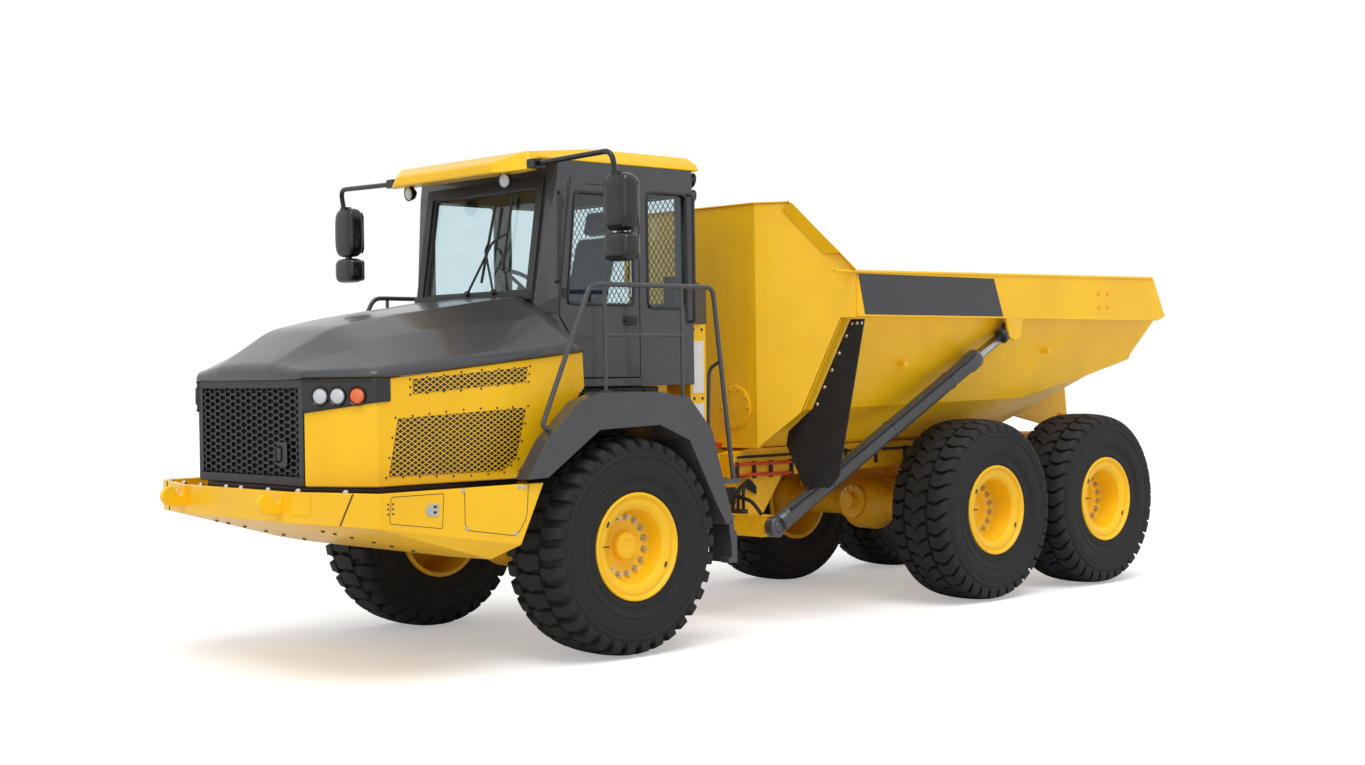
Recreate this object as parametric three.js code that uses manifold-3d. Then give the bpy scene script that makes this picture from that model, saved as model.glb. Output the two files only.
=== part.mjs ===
// Articulated dump truck with six driven wheels, in millimetres.
// +X points forward, +Y to the truck's left and +Z up. Lengths along X are counted from the front axle.
import * as THREE from 'three';
import { ConvexGeometry } from 'three/addons/geometries/ConvexGeometry.js';
import { mergeVertices } from 'three/addons/utils/BufferGeometryUtils.js';
import Module from 'manifold-3d';

const wasm = await Module();
wasm.setup();

// Driving dimensions
const TRUCK_CENTRE_X = -2226; // middle of the truck's length, seen from the front axle
const PIVOT_X = -1362; // articulation hinge
const MID_AXLE_X = -4190;
const REAR_AXLE_X = -5860;
const WHEEL_Y = 1180; // middle of a tyre
const TYRE_RADIUS = 795;
const TYRE_SIDES = 32;
const RIM_RADIUS = 386;
const RIM_SIDES = 24;
const RIM_HALF_WIDTH = 280;
const AXLE_Z = TYRE_RADIUS * Math.cos(Math.PI / TYRE_SIDES); // a flat of the tyre meets the ground
const FRONT_DISC_DEPTH = 180; // wheel disc behind the rim's outer edge
const REAR_DISC_DEPTH = 250;
const OSCILLATION_Z = 970; // axis of the joint that lets the rear frame roll
const RAIL_IN = 290; // front frame rails, inner and outer faces
const RAIL_OUT = 390;
const STEER_BARREL_PIN = [-200, 560, OSCILLATION_Z];
const STEER_ROD_EYE = [-1500, 430, OSCILLATION_Z];
const HOIST_BARREL_PIN = [-1845, 1040, 785];
const HOIST_ROD_EYE = [-4600, 1300, 2360];
const BIN_HINGE_X = -6420;
const BIN_HINGE_Z = 1520;
const CAB_REAR_X = -1160;
const CAB_HALF_WIDTH = 850;
const CAB_FLOOR_Z = 1930;
const WALL = 50; // cab walls and bin plates
const DOOR_REAR_X = -600;
const DOOR_LOW_Z = 1990;
const DOOR_HIGH_Z = 3430;
const RUNNING_GAP = 6; // between pieces that move past each other
const SEAM = 0.4; // between pieces that are fixed together

const COLOURS = {
  yellow: ['#f7c208', 0.4, 0.0],
  grey: ['#4a4b4f', 0.5, 0.1],
  black: ['#1c1c1c', 0.6, 0.0],
  tyre: ['#262626', 0.9, 0.0],
  chrome: ['#c8cacc', 0.15, 1.0],
  glass: ['#b9cfd2', 0.1, 0.0],
  seat: ['#3a3d42', 0.9, 0.0],
};

const truck = new THREE.Group();
truck.position.x = -TRUCK_CENTRE_X;

// A closed three.js geometry as a solid that can be joined and cut
function solid(geometry) {
  geometry.deleteAttribute('normal');
  geometry.deleteAttribute('uv');
  const merged = mergeVertices(geometry, 1e-3);
  const vertProperties = new Float32Array(merged.attributes.position.array);
  const triVerts = new Uint32Array(merged.index.array);
  return new wasm.Manifold(new wasm.Mesh({ numProp: 3, vertProperties, triVerts }));
}

function toGeometry(body) {
  const mesh = body.getMesh();
  const geometry = new THREE.BufferGeometry();
  geometry.setAttribute('position', new THREE.BufferAttribute(new Float32Array(mesh.vertProperties), 3));
  geometry.setIndex(new THREE.BufferAttribute(new Uint32Array(mesh.triVerts), 1));
  return geometry;
}

function join(...pieces) {
  return pieces.reduce((sum, piece) => sum.add(piece));
}

// The same solid on the truck's other side
function mirrored(body) {
  const geometry = toGeometry(body);
  geometry.scale(1, -1, 1);
  const corners = geometry.index.array;
  for (let i = 0; i < corners.length; i += 3) {
    const first = corners[i];
    corners[i] = corners[i + 1];
    corners[i + 1] = first;
  }
  return solid(geometry);
}

function both(body) {
  return body.add(mirrored(body));
}

// Adds a named piece; corners closer than a thousandth of a millimetre are merged first
function add(name, body, colour) {
  const geometry = toGeometry(solid(toGeometry(body))).toNonIndexed();
  geometry.computeVertexNormals();
  const [color, roughness, metalness] = COLOURS[colour];
  const mesh = new THREE.Mesh(geometry, new THREE.MeshStandardMaterial({ color, roughness, metalness }));
  mesh.name = name;
  truck.add(mesh);
  return mesh;
}

function block(x0, x1, y0, y1, z0, z1) {
  const box = new THREE.BoxGeometry(Math.abs(x1 - x0), Math.abs(y1 - y0), Math.abs(z1 - z0));
  return solid(box.translate((x0 + x1) / 2, (y0 + y1) / 2, (z0 + z1) / 2));
}

function prism(points, depth) {
  const shape = new THREE.Shape(points.map(([u, v]) => new THREE.Vector2(u, v)));
  return new THREE.ExtrudeGeometry(shape, { depth, bevelEnabled: false });
}

// Outline in X and Z, carried from y0 to y1
function sideProfile(points, y0, y1) {
  return solid(prism(points, y1 - y0).rotateX(Math.PI / 2).translate(0, y1, 0));
}

// Outline in X and Y, carried from z0 to z1
function planProfile(points, z0, z1) {
  return solid(prism(points, z1 - z0).translate(0, 0, z0));
}

function hull(points) {
  return solid(new ConvexGeometry(points.map(([x, y, z]) => new THREE.Vector3(x, y, z))));
}

// Points given for the left side, and the same ones on the right
function leftAndRight(points) {
  return [...points, ...points.map(([x, y, z]) => [x, -y, z])];
}

function bar(from, to, radius, sides = 12) {
  const start = new THREE.Vector3(...from);
  const along = new THREE.Vector3(...to).sub(start);
  const length = along.length();
  const cylinder = new THREE.CylinderGeometry(radius, radius, length, sides).translate(0, length / 2, 0);
  const turn = new THREE.Quaternion().setFromUnitVectors(new THREE.Vector3(0, 1, 0), along.normalize());
  return solid(cylinder.applyQuaternion(turn).translate(start.x, start.y, start.z));
}

// A round bar bent at each inner point of its route
function bentBar(route, radius, bend = 90) {
  const points = route.map((point) => new THREE.Vector3(...point));
  const path = new THREE.CurvePath();
  let start = points[0];
  for (let i = 1; i < points.length - 1; i += 1) {
    const corner = points[i];
    const before = corner.clone().add(start.clone().sub(corner).setLength(bend));
    const after = corner.clone().add(points[i + 1].clone().sub(corner).setLength(bend));
    path.add(new THREE.LineCurve3(start, before));
    path.add(new THREE.QuadraticBezierCurve3(before, corner, after));
    start = after;
  }
  path.add(new THREE.LineCurve3(start, points[points.length - 1]));
  const ring = new THREE.Shape().absarc(0, 0, radius, 0, 2 * Math.PI);
  const steps = 8 * (points.length - 1);
  const options = { steps, curveSegments: 3, bevelEnabled: false, extrudePath: path };
  return solid(new THREE.ExtrudeGeometry(ring, options));
}

// A profile of [radius, offset] pairs turned about a line along Y
function turned(profile, sides, x, y, z) {
  const points = profile.map(([radius, offset]) => new THREE.Vector2(radius, offset));
  const lathe = new THREE.LatheGeometry(points, sides, Math.PI / sides);
  return solid(lathe.translate(x, y, z));
}

// Frame under the engine and cab, with its two hinge lugs, steering brackets and strut towers
function frontFrame() {
  const rail = sideProfile([
    [2349, 1200], [2349, 1125], [2150, 1072], [1500, 906], [600, 930],
    [-300, 930], [-700, 760], [-980, 700], [-980, 1250], [-300, 1250], [1500, 1210],
  ], RAIL_IN, RAIL_OUT);
  const steerBracket = join(
    block(-270, -130, RAIL_OUT - 5, 620, 1025, 1050),
    block(-270, -130, RAIL_OUT - 60, 620, 890, 915),
    block(-270, -130, RAIL_OUT - 60, RAIL_OUT, 890, 1000),
  );
  const strutTower = join(
    block(0, 120, RAIL_OUT - 60, RAIL_OUT + 50, 1200, 1540),
    block(0, 120, RAIL_OUT - 60, 640, 1500, 1540),
  );
  const cabMount = block(-1000, -860, RAIL_OUT - 60, 560, 1250, CAB_FLOOR_Z - SEAM);
  const lugOutline = [
    [-890, -RAIL_OUT], [-890, RAIL_OUT], [-1010, 360], [PIVOT_X - 60, 135],
    [PIVOT_X - 130, 70], [PIVOT_X - 130, -70], [PIVOT_X - 60, -135], [-1010, -360],
  ].reverse();
  return join(
    both(rail.add(steerBracket).add(strutTower).add(cabMount)),
    block(2050, 2150, -RAIL_OUT, RAIL_OUT, 1070, 1200),
    block(-980, -890, -RAIL_OUT, RAIL_OUT, 620, 1330),
    planProfile(lugOutline, 1250, 1330),
    planProfile(lugOutline, 620, 700),
  );
}

// Beam axle with its differential, hubs and, at the front, the two struts
function axle(x, discFace) {
  const hubEnd = WHEEL_Y + discFace - RUNNING_GAP;
  return turned([
    [0, -hubEnd], [190, -hubEnd], [190, -hubEnd + 160], [115, -hubEnd + 230], [115, -285], [235, -140],
    [235, 140], [115, 285], [115, hubEnd - 230], [190, hubEnd - 160], [190, hubEnd], [0, hubEnd],
  ], 12, x, 0, AXLE_Z);
}

function frontAxle() {
  const discFace = RIM_HALF_WIDTH - FRONT_DISC_DEPTH - 30;
  const strut = bar([60, 560, AXLE_Z + 60], [60, 560, 1180], 70).add(bar([60, 560, 1100], [60, 560, 1499], 45));
  return axle(0, discFace).add(both(strut));
}

// Lower front bodywork: an open tub with a sloping belly and two tow hooks
function bumper() {
  const outer = leftAndRight([
    [2400, 720, 1085], [2160, 1420, 1062], [1020, 1420, 880], [1210, 1330, 790], [1210, 880, 780],
    [2400, 720, 1286], [2160, 1420, 1286], [820, 1420, 1290],
  ]);
  const inner = leftAndRight([
    [2350, 690, 1113], [2120, 1370, 1104], [500, 1370, 910], [500, 1290, 830], [1210, 850, 822],
    [500, 850, 640], [2350, 690, 1500], [2120, 1370, 1500], [300, 1370, 1500],
  ]);
  const hook = sideProfile([
    [2380, 1142], [2505, 1142], [2546, 1158], [2572, 1190], [2578, 1226], [2564, 1260], [2530, 1280],
    [2484, 1280], [2470, 1262], [2468, 1232], [2446, 1214], [2422, 1232], [2420, 1284], [2380, 1284],
  ], 620, 670);
  return join(hull(outer).subtract(hull(inner)), both(hook));
}

// Wheel arch with the walkway on top, the mud flap and the hanging step
function fenderLeft() {
  const outer = [
    [1000, 1320], [820, 1580], [530, 1835], [345, 1893], [-224, 1890], [-520, 1840], [-740, 1600], [-946, 920],
  ];
  const arch = [
    [-880, 888], [-760, 1080], [-510, 1534], [-220, 1653], [350, 1635], [820, 1324],
  ];
  const profile = [...outer, ...arch].reverse();
  const band = sideProfile(profile, 1335, 1470);
  const inward = sideProfile(profile, 862, 1336).intersect(block(-1000, 195, 800, 1400, 800, 2000));
  const lining = [[850, 1362], [362, 1685], [170, 1692], [170, 1656], [345, 1650], [815, 1340]];
  const liner = sideProfile(lining, 1165, 1336);
  const flap = block(-962, -938, 1210, 1460, 600, 960);
  const upperStep = block(-1040, -800, 1190, 1460, 1190, 1225);
  const hanger = sideProfile([[-905, 930], [-960, 860], [-995, 820], [-995, 600], [-960, 600], [-930, 760]], 1440, 1460);
  const lowerStep = block(-995, -905, 1375, 1460, 600, 640);
  return join(band, inward, liner, flap, upperStep, hanger, lowerStep);
}

function handrailLeft() {
  const rail = bentBar([[760, 1400, 1668], [320, 1350, 2660], [-880, 1350, 2660], [-1020, 1400, 1227]], 18);
  const frontPost = bar([190, 1350, 1895], [190, 1350, 2660], 14, 8);
  const rearPost = bar([-560, 1350, 1845], [-560, 1350, 2660], 14, 8);
  const middle = bar([190, 1350, 2300], [-560, 1350, 2300], 12, 8);
  return join(rail, frontPost, rearPost, middle);
}

// Plan outline of the cab, drawn in by inset
function cabPlan(inset, z0, z1) {
  const front = 335 - inset;
  const side = CAB_HALF_WIDTH - inset;
  const rear = CAB_REAR_X + inset;
  return planProfile([
    [rear, -side], [200, -side], [front, -725 + inset], [front, 725 - inset], [200, side], [rear, side],
  ], z0, z1);
}

// Doorway outline, drawn in by inset; its front edge follows the slanting front post
function doorOutline(inset) {
  return [
    [DOOR_REAR_X + inset, DOOR_LOW_Z + inset], [10 - inset, DOOR_LOW_Z + inset], [20 - inset, 2195],
    [190 - inset, 2440 + inset / 2], [190 - inset, 2560], [95 - inset, DOOR_HIGH_Z - inset],
    [DOOR_REAR_X + inset, DOOR_HIGH_Z - inset],
  ];
}

function cabVolume(inset) {
  const low = CAB_FLOOR_Z + inset;
  const high = 3590;
  const profile = sideProfile([
    [CAB_REAR_X + inset, low], [80 - inset, low], [120 - inset, 2195], [330 - inset, 2457],
    [326 - inset, 2600], [200 - inset, 3430], [180 - inset, high], [CAB_REAR_X + inset, high],
  ], -1000, 1000);
  return profile.intersect(cabPlan(inset, low, high));
}

// Hollow cab with its window openings and doorway, open at the top where the roof sits
function cabShell() {
  const shell = cabVolume(0).subtract(cabVolume(WALL).intersect(block(-2000, 2000, -1000, 1000, 0, 3540)));
  const windscreenHole = block(100, 500, -640, 640, 2640, 3400);
  const doorway = sideProfile(doorOutline(0), 700, 1000);
  const sideHole = (x0, x1, side) => block(x0, x1, side * 700, side * 1000, 2520, 3400);
  const rearHole = block(-1300, -1000, -690, 690, 2560, 3400);
  return shell
    .subtract(windscreenHole)
    .subtract(doorway)
    .subtract(sideHole(-1090, -680, 1))
    .subtract(sideHole(-1090, -680, -1))
    .subtract(sideHole(-540, 90, -1))
    .subtract(rearHole);
}

// Roof cap with the visor over the windscreen
function cabRoof() {
  return hull(leftAndRight([
    [610, 640, 3480], [470, 860, 3500], [-1230, 860, 3591], [250, 860, 3591],
    [600, 600, 3560], [420, 800, 3640], [-200, 780, 3700], [-1180, 780, 3700], [-1230, 840, 3640],
  ])).subtract(block(-1500, 205, -1000, 1000, 3000, 3591)).subtract(block(150, 360, -1000, 1000, 3000, 3591));
}

// Glass set back in its opening, parallel to the sloping front of the cab
function windscreen() {
  return sideProfile([[288, 2645], [300, 2645], [186, 3395], [174, 3395]], -636, 636);
}

// Two stacked mirror heads on an arm from the front of the roof
function mirrorLeft() {
  const arm = bentBar([[420, 876, 3540], [400, 1690, 3560], [370, 1690, 3380]], 22, 80);
  const head = (low, high) => hull([
    [250, 1560, low + 30], [250, 1820, low + 30], [400, 1590, low], [400, 1790, low],
    [250, 1560, high - 30], [250, 1820, high - 30], [400, 1590, high], [400, 1790, high],
  ]);
  const stem = bar([340, 1690, 2990], [340, 1690, 3020], 30);
  return join(arm, head(3010, 3410), stem, head(2800, 3000));
}

// Filler and filter column between the cab and the bin
function serviceTower() {
  return join(
    hull([
      [-1185, 480, 2400], [-1185, 800, 2400], [-1385, 480, 2400], [-1385, 760, 2400],
      [-1185, 480, 2790], [-1185, 800, 2760], [-1385, 480, 2700], [-1385, 760, 2690],
    ]),
    block(-1360, -1190, 500, 770, 1395, 2401),
    block(-1360, -1001, 150, 770, 1330 + SEAM, 1396),
  );
}

function seatBase() {
  return join(block(-700, -360, -190, 190, CAB_FLOOR_Z + WALL + SEAM, 2360), block(-780, -320, -240, 240, 2300, 2380));
}

function seatCushion() {
  return block(-800, -290, -255, 255, 2381, 2500);
}

function seatBack() {
  return hull([
    [-810, -255, 2505], [-810, 255, 2505], [-690, 255, 2505], [-690, -255, 2505],
    [-960, -200, 3130], [-960, 200, 3130], [-880, 200, 3150], [-880, -200, 3150],
  ]);
}

// Console under the windscreen with the steering column and wheel
function dashboard() {
  const panel = sideProfile([
    [20, 2000], [20, 2150], [150, 2440], [190, 2520], [150, 2560], [-20, 2560], [-60, 2480], [-20, 2000],
  ].reverse(), -600, 600);
  const column = bar([-20, 0, 2450], [-150, 0, 2695], 40);
  const wheel = solid(new THREE.TorusGeometry(210, 16, 6, 20).rotateY(-Math.PI / 5).translate(-150, 0, 2700));
  const spoke = bar([18, 0, 2822], [-318, 0, 2578], 14, 6);
  return join(panel, column, wheel, spoke);
}

// Hood shell above a line that rises gently to the rear
const HOOD_LINE = [[2360, 2020], [1880, 2020], [225, 2185]];

function hoodTop() {
  const outer = hull(leftAndRight([
    [2250, 690, 2020], [2310, 300, 2080], [1900, 1110, 2020], [225, 1160, 2185], [2250, 660, 2060],
    [1840, 420, 2350], [1430, 450, 2435], [360, 600, 2590], [340, 900, 2420], [225, 1120, 2240],
    [1880, 1060, 2080], [2300, 0, 2100], [1840, 0, 2360],
  ]));
  const inner = hull(leftAndRight([
    [2205, 660, 1980], [2240, 300, 2040], [1880, 1070, 1980], [-400, 1120, 2145], [2205, 640, 2020],
    [1820, 400, 2305], [1430, 430, 2390], [-400, 570, 2590], [-400, 870, 2400], [-400, 1080, 2200],
    [1860, 1020, 2040], [1820, 0, 2315],
  ]));
  const below = sideProfile([...HOOD_LINE, [0, 2205], [0, 1500], [2400, 1500]].reverse(), -1500, 1500);
  const rear = sideProfile([[225, 2000], [225, 2210], [375, 2470], [375, 2800], [-500, 2800], [-500, 2000]], -1500, 1500);
  return outer.subtract(inner).subtract(below).subtract(rear);
}

// Side panel with the angled corner that carries the headlamps
function hoodSideLeft() {
  const side = sideProfile([
    [1990, 1310], [1990, 2019], [1880, 2019], [230, 2184], [215, 1930], [540, 1570], [730, 1310],
  ], 1118, 1152);
  const corner = planProfile([[2249, 692], [1990, 1152], [1940, 1152], [1940, 1118], [1968, 1118], [2208, 692]], 1310, 2019);
  return side.add(corner);
}

function grille() {
  return block(2210, 2249, -690, 690, 1312, 2018.5);
}

// Door leaf with its window opening; the glass is a separate piece
const DOOR_WINDOW = [[-530, 2540], [120, 2540], [35, 3365], [-530, 3365]];

function cabDoor() {
  const leaf = sideProfile(doorOutline(RUNNING_GAP), 805, 852);
  return leaf.subtract(sideProfile(DOOR_WINDOW, 700, 1000));
}

function doorGlass() {
  const pane = DOOR_WINDOW.map(([x, z]) => [x * 0.998 - 0.4, 2952.5 + (z - 2952.5) * 0.998]);
  return sideProfile(pane, 820, 832);
}

// Vertical hinge post behind the front frame, its arms for the steering rods and the round bearing
function hitchYoke() {
  const wings = planProfile([
    [-1600, -120], [-1580, -490], [-1430, -490], [-1410, -120],
    [-1410, 120], [-1430, 490], [-1580, 490], [-1600, 120],
  ], 865, 908);
  return join(
    bar([PIVOT_X, 0, 707], [PIVOT_X, 0, 1243], 125, 20),
    block(-1645, PIVOT_X, -120, 120, 780, 1160),
    bar([-1690, 0, OSCILLATION_Z], [-1640, 0, OSCILLATION_Z], 255, 24),
    wings,
  );
}

// Rear ladder frame with the bearing at the front, the hoist feet and the bin's hinge lugs
function rearFrame() {
  const rail = sideProfile([
    [-1900, 1350], [-2100, 1385], [-6360, 1385], [-6390, 1590], [-6450, 1590], [-6490, 1480], [-6470, 1180],
    [-2500, 1150], [-2200, 760], [-1900, 700],
  ].reverse(), 350, 500);
  const hingePin = bar([BIN_HINGE_X, 400, BIN_HINGE_Z], [BIN_HINGE_X, 590, BIN_HINGE_Z], 42, 16);
  const hoistBoss = bar([-1845, 900, 785], [-1845, 955, 785], 60, 16);
  const beamPost = block(-5090, -4960, 380, 470, 990, 1200);
  const crossAt = (x) => block(x - 60, x + 60, -360, 360, 1180, 1370);
  const crossings = [-2950, -3800, -4600, -5400].map(crossAt);
  return join(
    both(join(rail, hingePin, hoistBoss, beamPost)),
    block(-2060, -1745, -360, 360, 700, 1350),
    bar([-1750, 0, OSCILLATION_Z], [-1696, 0, OSCILLATION_Z], 255, 24),
    block(-1920, -1785, -950, 950, 700, 870),
    block(-6470, -6300, -360, 360, 1190, 1380),
    ...crossings,
  );
}

// Two walking beams that share the load between the mid and rear axles, and their cross shaft
function walkingBeams() {
  const middle = (MID_AXLE_X + REAR_AXLE_X) / 2;
  const beam = sideProfile([
    [MID_AXLE_X + 200, 925], [MID_AXLE_X + 200, 1010], [middle + 330, 1090], [middle - 330, 1090],
    [REAR_AXLE_X - 200, 1010], [REAR_AXLE_X - 200, 925], [REAR_AXLE_X + 150, 925],
    [middle - 480, 850], [middle + 480, 850], [MID_AXLE_X - 150, 925],
  ].reverse(), 560, 690);
  return both(beam).add(bar([middle, -600, 930], [middle, 600, 930], 58, 12));
}

// Bin. Each station holds its place along X, the height of the floor and that of the knee where
// the lower facet meets the sloping side. The floor rises behind the second station to the tail.
const BIN_STATIONS = [[-2000, 1420, 1700], [-5150, 1420, 1745], [-6130, 1815, 1940], [-6760, 2060, 2090]];
const FLOOR_HALF = 600;
const BAND_LOW = 2460;
const BAND_Y = 1370;
const SIDE_SLOPE = 0.3553; // sideways growth of the bin side for each unit of height
const LIP = 45; // the floor pan turns up past the knee by this much
const CORNER_Y = 700; // where the front wall starts to slant back
const CORNER_SLOPE = 450 / 660;

function sideY(z) {
  return 990 + (z - 1700) * SIDE_SLOPE;
}

function bays(sectionAt, stations) {
  const parts = [];
  for (let i = 0; i + 1 < stations.length; i += 1) {
    parts.push(hull([...sectionAt(stations[i]), ...sectionAt(stations[i + 1])]));
  }
  return join(...parts);
}

// Everything ahead of the front wall's inner face
function aheadOfFrontWall() {
  const inner = -2000 - WALL - 0.5;
  const reach = 1500 - 684;
  return both(planProfile([
    [-1900, 1500], [inner - reach * CORNER_SLOPE, 1500], [inner, 684], [inner, -1], [-1900, -1],
  ], 1000, 3600));
}

function binFloor() {
  const floorAt = ([x, z]) => leftAndRight([[x, FLOOR_HALF, z], [x, FLOOR_HALF, z + WALL]]);
  const facetAt = ([x, z, knee]) => [
    [x, FLOOR_HALF, z], [x, sideY(knee), knee], [x, sideY(knee + LIP), knee + LIP],
    [x, sideY(knee + LIP) - 48, knee + LIP], [x, FLOOR_HALF - 15, z + WALL],
  ];
  const bracket = sideProfile([
    [-5500, 1600], [-6300, 1440], [-6400, 1410], [-6490, 1430], [-6535, 1520], [-6480, 1975],
  ], 508, 560).subtract(bar([BIN_HINGE_X, 480, BIN_HINGE_Z], [BIN_HINGE_X, 600, BIN_HINGE_Z], 48, 16));
  const runner = block(-5100, -2055, 370, 480, 1392, 1425);
  return join(
    bays(floorAt, BIN_STATIONS),
    both(join(bays(facetAt, BIN_STATIONS), bracket, runner)),
  ).subtract(aheadOfFrontWall());
}

function binSideLeft() {
  const low = LIP + SEAM;
  const plateAt = ([x, , knee]) => [
    [x, sideY(knee + low), knee + low], [x, sideY(knee + low) - 48, knee + low],
    [x, sideY(BAND_LOW + 10), BAND_LOW + 10], [x, sideY(BAND_LOW + 10) - 48, BAND_LOW + 10],
  ];
  const [tailX, , tailKnee] = BIN_STATIONS[BIN_STATIONS.length - 1];
  const tail = hull([
    ...plateAt([tailX, 0, tailKnee]), [-7018, 1270, BAND_LOW + 30], [-7018, 1222, BAND_LOW + 30],
  ]);
  const band = sideProfile([
    [-2200, 2820], [-2200, BAND_LOW], [-6900, BAND_LOW], [-7030, 2500], [-6830, 2870],
  ].reverse(), 1215, BAND_Y);
  const hoistLug = sideProfile([[-4720, 2465], [-4680, 2300], [-4600, 2265], [-4520, 2300], [-4480, 2465]].reverse(), 1346, 1369);
  const stub = block(-5330, -5290, 1140, 1230, 2150, 2190).add(block(-3330, -3290, 1100, 1190, 2050, 2090));
  return join(bays(plateAt, BIN_STATIONS), tail, band, hoistLug, stub).subtract(aheadOfFrontWall());
}

// Tall front wall whose corners slant back to the sides
function binFrontWall() {
  const cornerX = (y) => -2000 - (y - CORNER_Y) * CORNER_SLOPE;
  const slanted = (points) => hull([
    ...points.map(([y, z]) => [cornerX(y), y, z]),
    ...points.map(([y, z]) => [cornerX(y) - 41.3, y - 28.2, z]),
  ]);
  const corner = slanted([[CORNER_Y, 1395], [1000, 1685], [1275, 2450], [1275, 2955], [940, 3390], [CORNER_Y, 3390]]);
  const bandEnd = slanted([[1240, 2450], [1378, 2450], [1378, 2822], [1275, 2955]]);
  const cover = bar([-1990, 450, 1730], [-2005, 450, 1730], 180, 20);
  return join(block(-2000 - WALL, -2000, -CORNER_Y, CORNER_Y, 1395, 3390), both(corner.add(bandEnd)), cover);
}

// Rubber flap that slants forward under the bin, ahead of the mid wheel
function binFlapLeft() {
  const slab = (points) => hull(points.flatMap(([y, z]) => {
    const x = -2500 + (2380 - z) * 0.265;
    return [[x, y, z], [x - 14, y, z]];
  }));
  return join(
    slab([[1013, 1716], [1270, 2438], [1420, 2438], [1420, 1715]]),
    slab([[790, 1530], [1013, 1716], [1420, 1716], [1420, 1180], [1340, 1088], [1060, 1088], [790, 1420]]),
  );
}

// A hydraulic cylinder's two halves. The barrel is bored so that the rod runs inside it.
function along(from, to, distance) {
  const start = new THREE.Vector3(...from);
  const step = new THREE.Vector3(...to).sub(start).setLength(distance);
  return start.add(step).toArray();
}

function eye([x, y, z], axis, half, radius) {
  const [dy, dz] = axis === 'y' ? [half, 0] : [0, half];
  return bar([x, y - dy, z - dz], [x, y + dy, z + dz], radius, 16);
}

function barrel(pin, rodEye, length, radius, bore, pinEye) {
  const tube = bar(along(pin, rodEye, radius * 0.5), along(pin, rodEye, length - 30), radius, 16);
  const gland = bar(along(pin, rodEye, length - 70), along(pin, rodEye, length), radius + 10, 20);
  const inside = bar(along(pin, rodEye, 130), along(pin, rodEye, length + 50), bore, 16);
  return join(tube, gland, pinEye).subtract(inside);
}

function rod(pin, rodEye, length, radius, endEye) {
  return bar(along(rodEye, pin, length), along(rodEye, pin, 20), radius, 16).add(endEye);
}

function hoistBarrelLeft() {
  return barrel(HOIST_BARREL_PIN, HOIST_ROD_EYE, 2700, 76, 52, eye(HOIST_BARREL_PIN, 'y', 42, 84));
}

function hoistRodLeft() {
  return rod(HOIST_BARREL_PIN, HOIST_ROD_EYE, 2960, 46, eye(HOIST_ROD_EYE, 'y', 36, 70));
}

function steerBarrelLeft() {
  return barrel(STEER_BARREL_PIN, STEER_ROD_EYE, 860, 48, 30, eye(STEER_BARREL_PIN, 'z', 49, 58));
}

function steerRodLeft() {
  return rod(STEER_BARREL_PIN, STEER_ROD_EYE, 850, 25, eye(STEER_ROD_EYE, 'z', 44, 50));
}

// Wheels, with the outer face towards +Y
function tyre() {
  const outside = [[391, -262], [640, -297], [782, -235], [TYRE_RADIUS, -110]];
  const mirror = outside.map(([radius, offset]) => [radius, -offset]).reverse();
  return turned([...outside, ...mirror, outside[0]], TYRE_SIDES, 0, 0, 0);
}

function rim(discDepth) {
  const disc = RIM_HALF_WIDTH - discDepth;
  return turned([
    [0, disc - 30], [345, disc - 30], [345, -RIM_HALF_WIDTH], [RIM_RADIUS, -RIM_HALF_WIDTH],
    [RIM_RADIUS, RIM_HALF_WIDTH], [275, RIM_HALF_WIDTH], [262, disc + 30], [225, disc], [110, disc],
    [100, disc + 70], [0, disc + 70],
  ], RIM_SIDES, 0, 0, 0);
}

function addWheel(name, x, side, discDepth) {
  for (const [piece, body, colour] of [['tyre', tyre(), 'tyre'], ['rim', rim(discDepth), 'yellow']]) {
    const mesh = add(`${piece}_${name}`, body, colour);
    mesh.position.set(x, side * WHEEL_Y, AXLE_Z);
    mesh.rotation.z = side > 0 ? 0 : Math.PI;
  }
}

function addPair(name, body, colour) {
  add(`${name}_left`, body, colour);
  add(`${name}_right`, mirrored(body), colour);
}

add('front_frame', frontFrame(), 'yellow');
add('front_axle', frontAxle(), 'yellow');
const engineOutline = [[350, 900], [1480, 900], [1650, 945], [1650, 1800], [350, 1800]];
add('engine_block', sideProfile(engineOutline, -270, 270), 'black');
add('bumper', bumper(), 'yellow');
addPair('fender', fenderLeft(), 'grey');
addPair('handrail', handrailLeft(), 'grey');
add('cab_shell', cabShell(), 'grey');
add('cab_roof', cabRoof(), 'yellow');
add('windscreen', windscreen(), 'glass');
add('seat_base', seatBase(), 'black');
add('seat_cushion', seatCushion(), 'seat');
add('seat_back', seatBack(), 'seat');
add('dashboard', dashboard(), 'black');
addPair('mirror', mirrorLeft(), 'black');
add('service_tower', serviceTower(), 'yellow');

add('hood_top', hoodTop(), 'grey');
addPair('hood_side', hoodSideLeft(), 'yellow');
add('grille', grille(), 'grey');

add('cab_door', cabDoor(), 'grey');
add('door_glass', doorGlass(), 'glass');

add('hitch_yoke', hitchYoke(), 'yellow');
add('rear_frame', rearFrame(), 'yellow');
add('mid_axle', axle(MID_AXLE_X, RIM_HALF_WIDTH - REAR_DISC_DEPTH - 30), 'yellow');
add('rear_axle', axle(REAR_AXLE_X, RIM_HALF_WIDTH - REAR_DISC_DEPTH - 30), 'yellow');
add('walking_beams', walkingBeams(), 'yellow');

add('bin_floor', binFloor(), 'yellow');
addPair('bin_side', binSideLeft(), 'yellow');
add('bin_front_wall', binFrontWall(), 'yellow');
addPair('bin_flap', binFlapLeft(), 'black');

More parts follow.
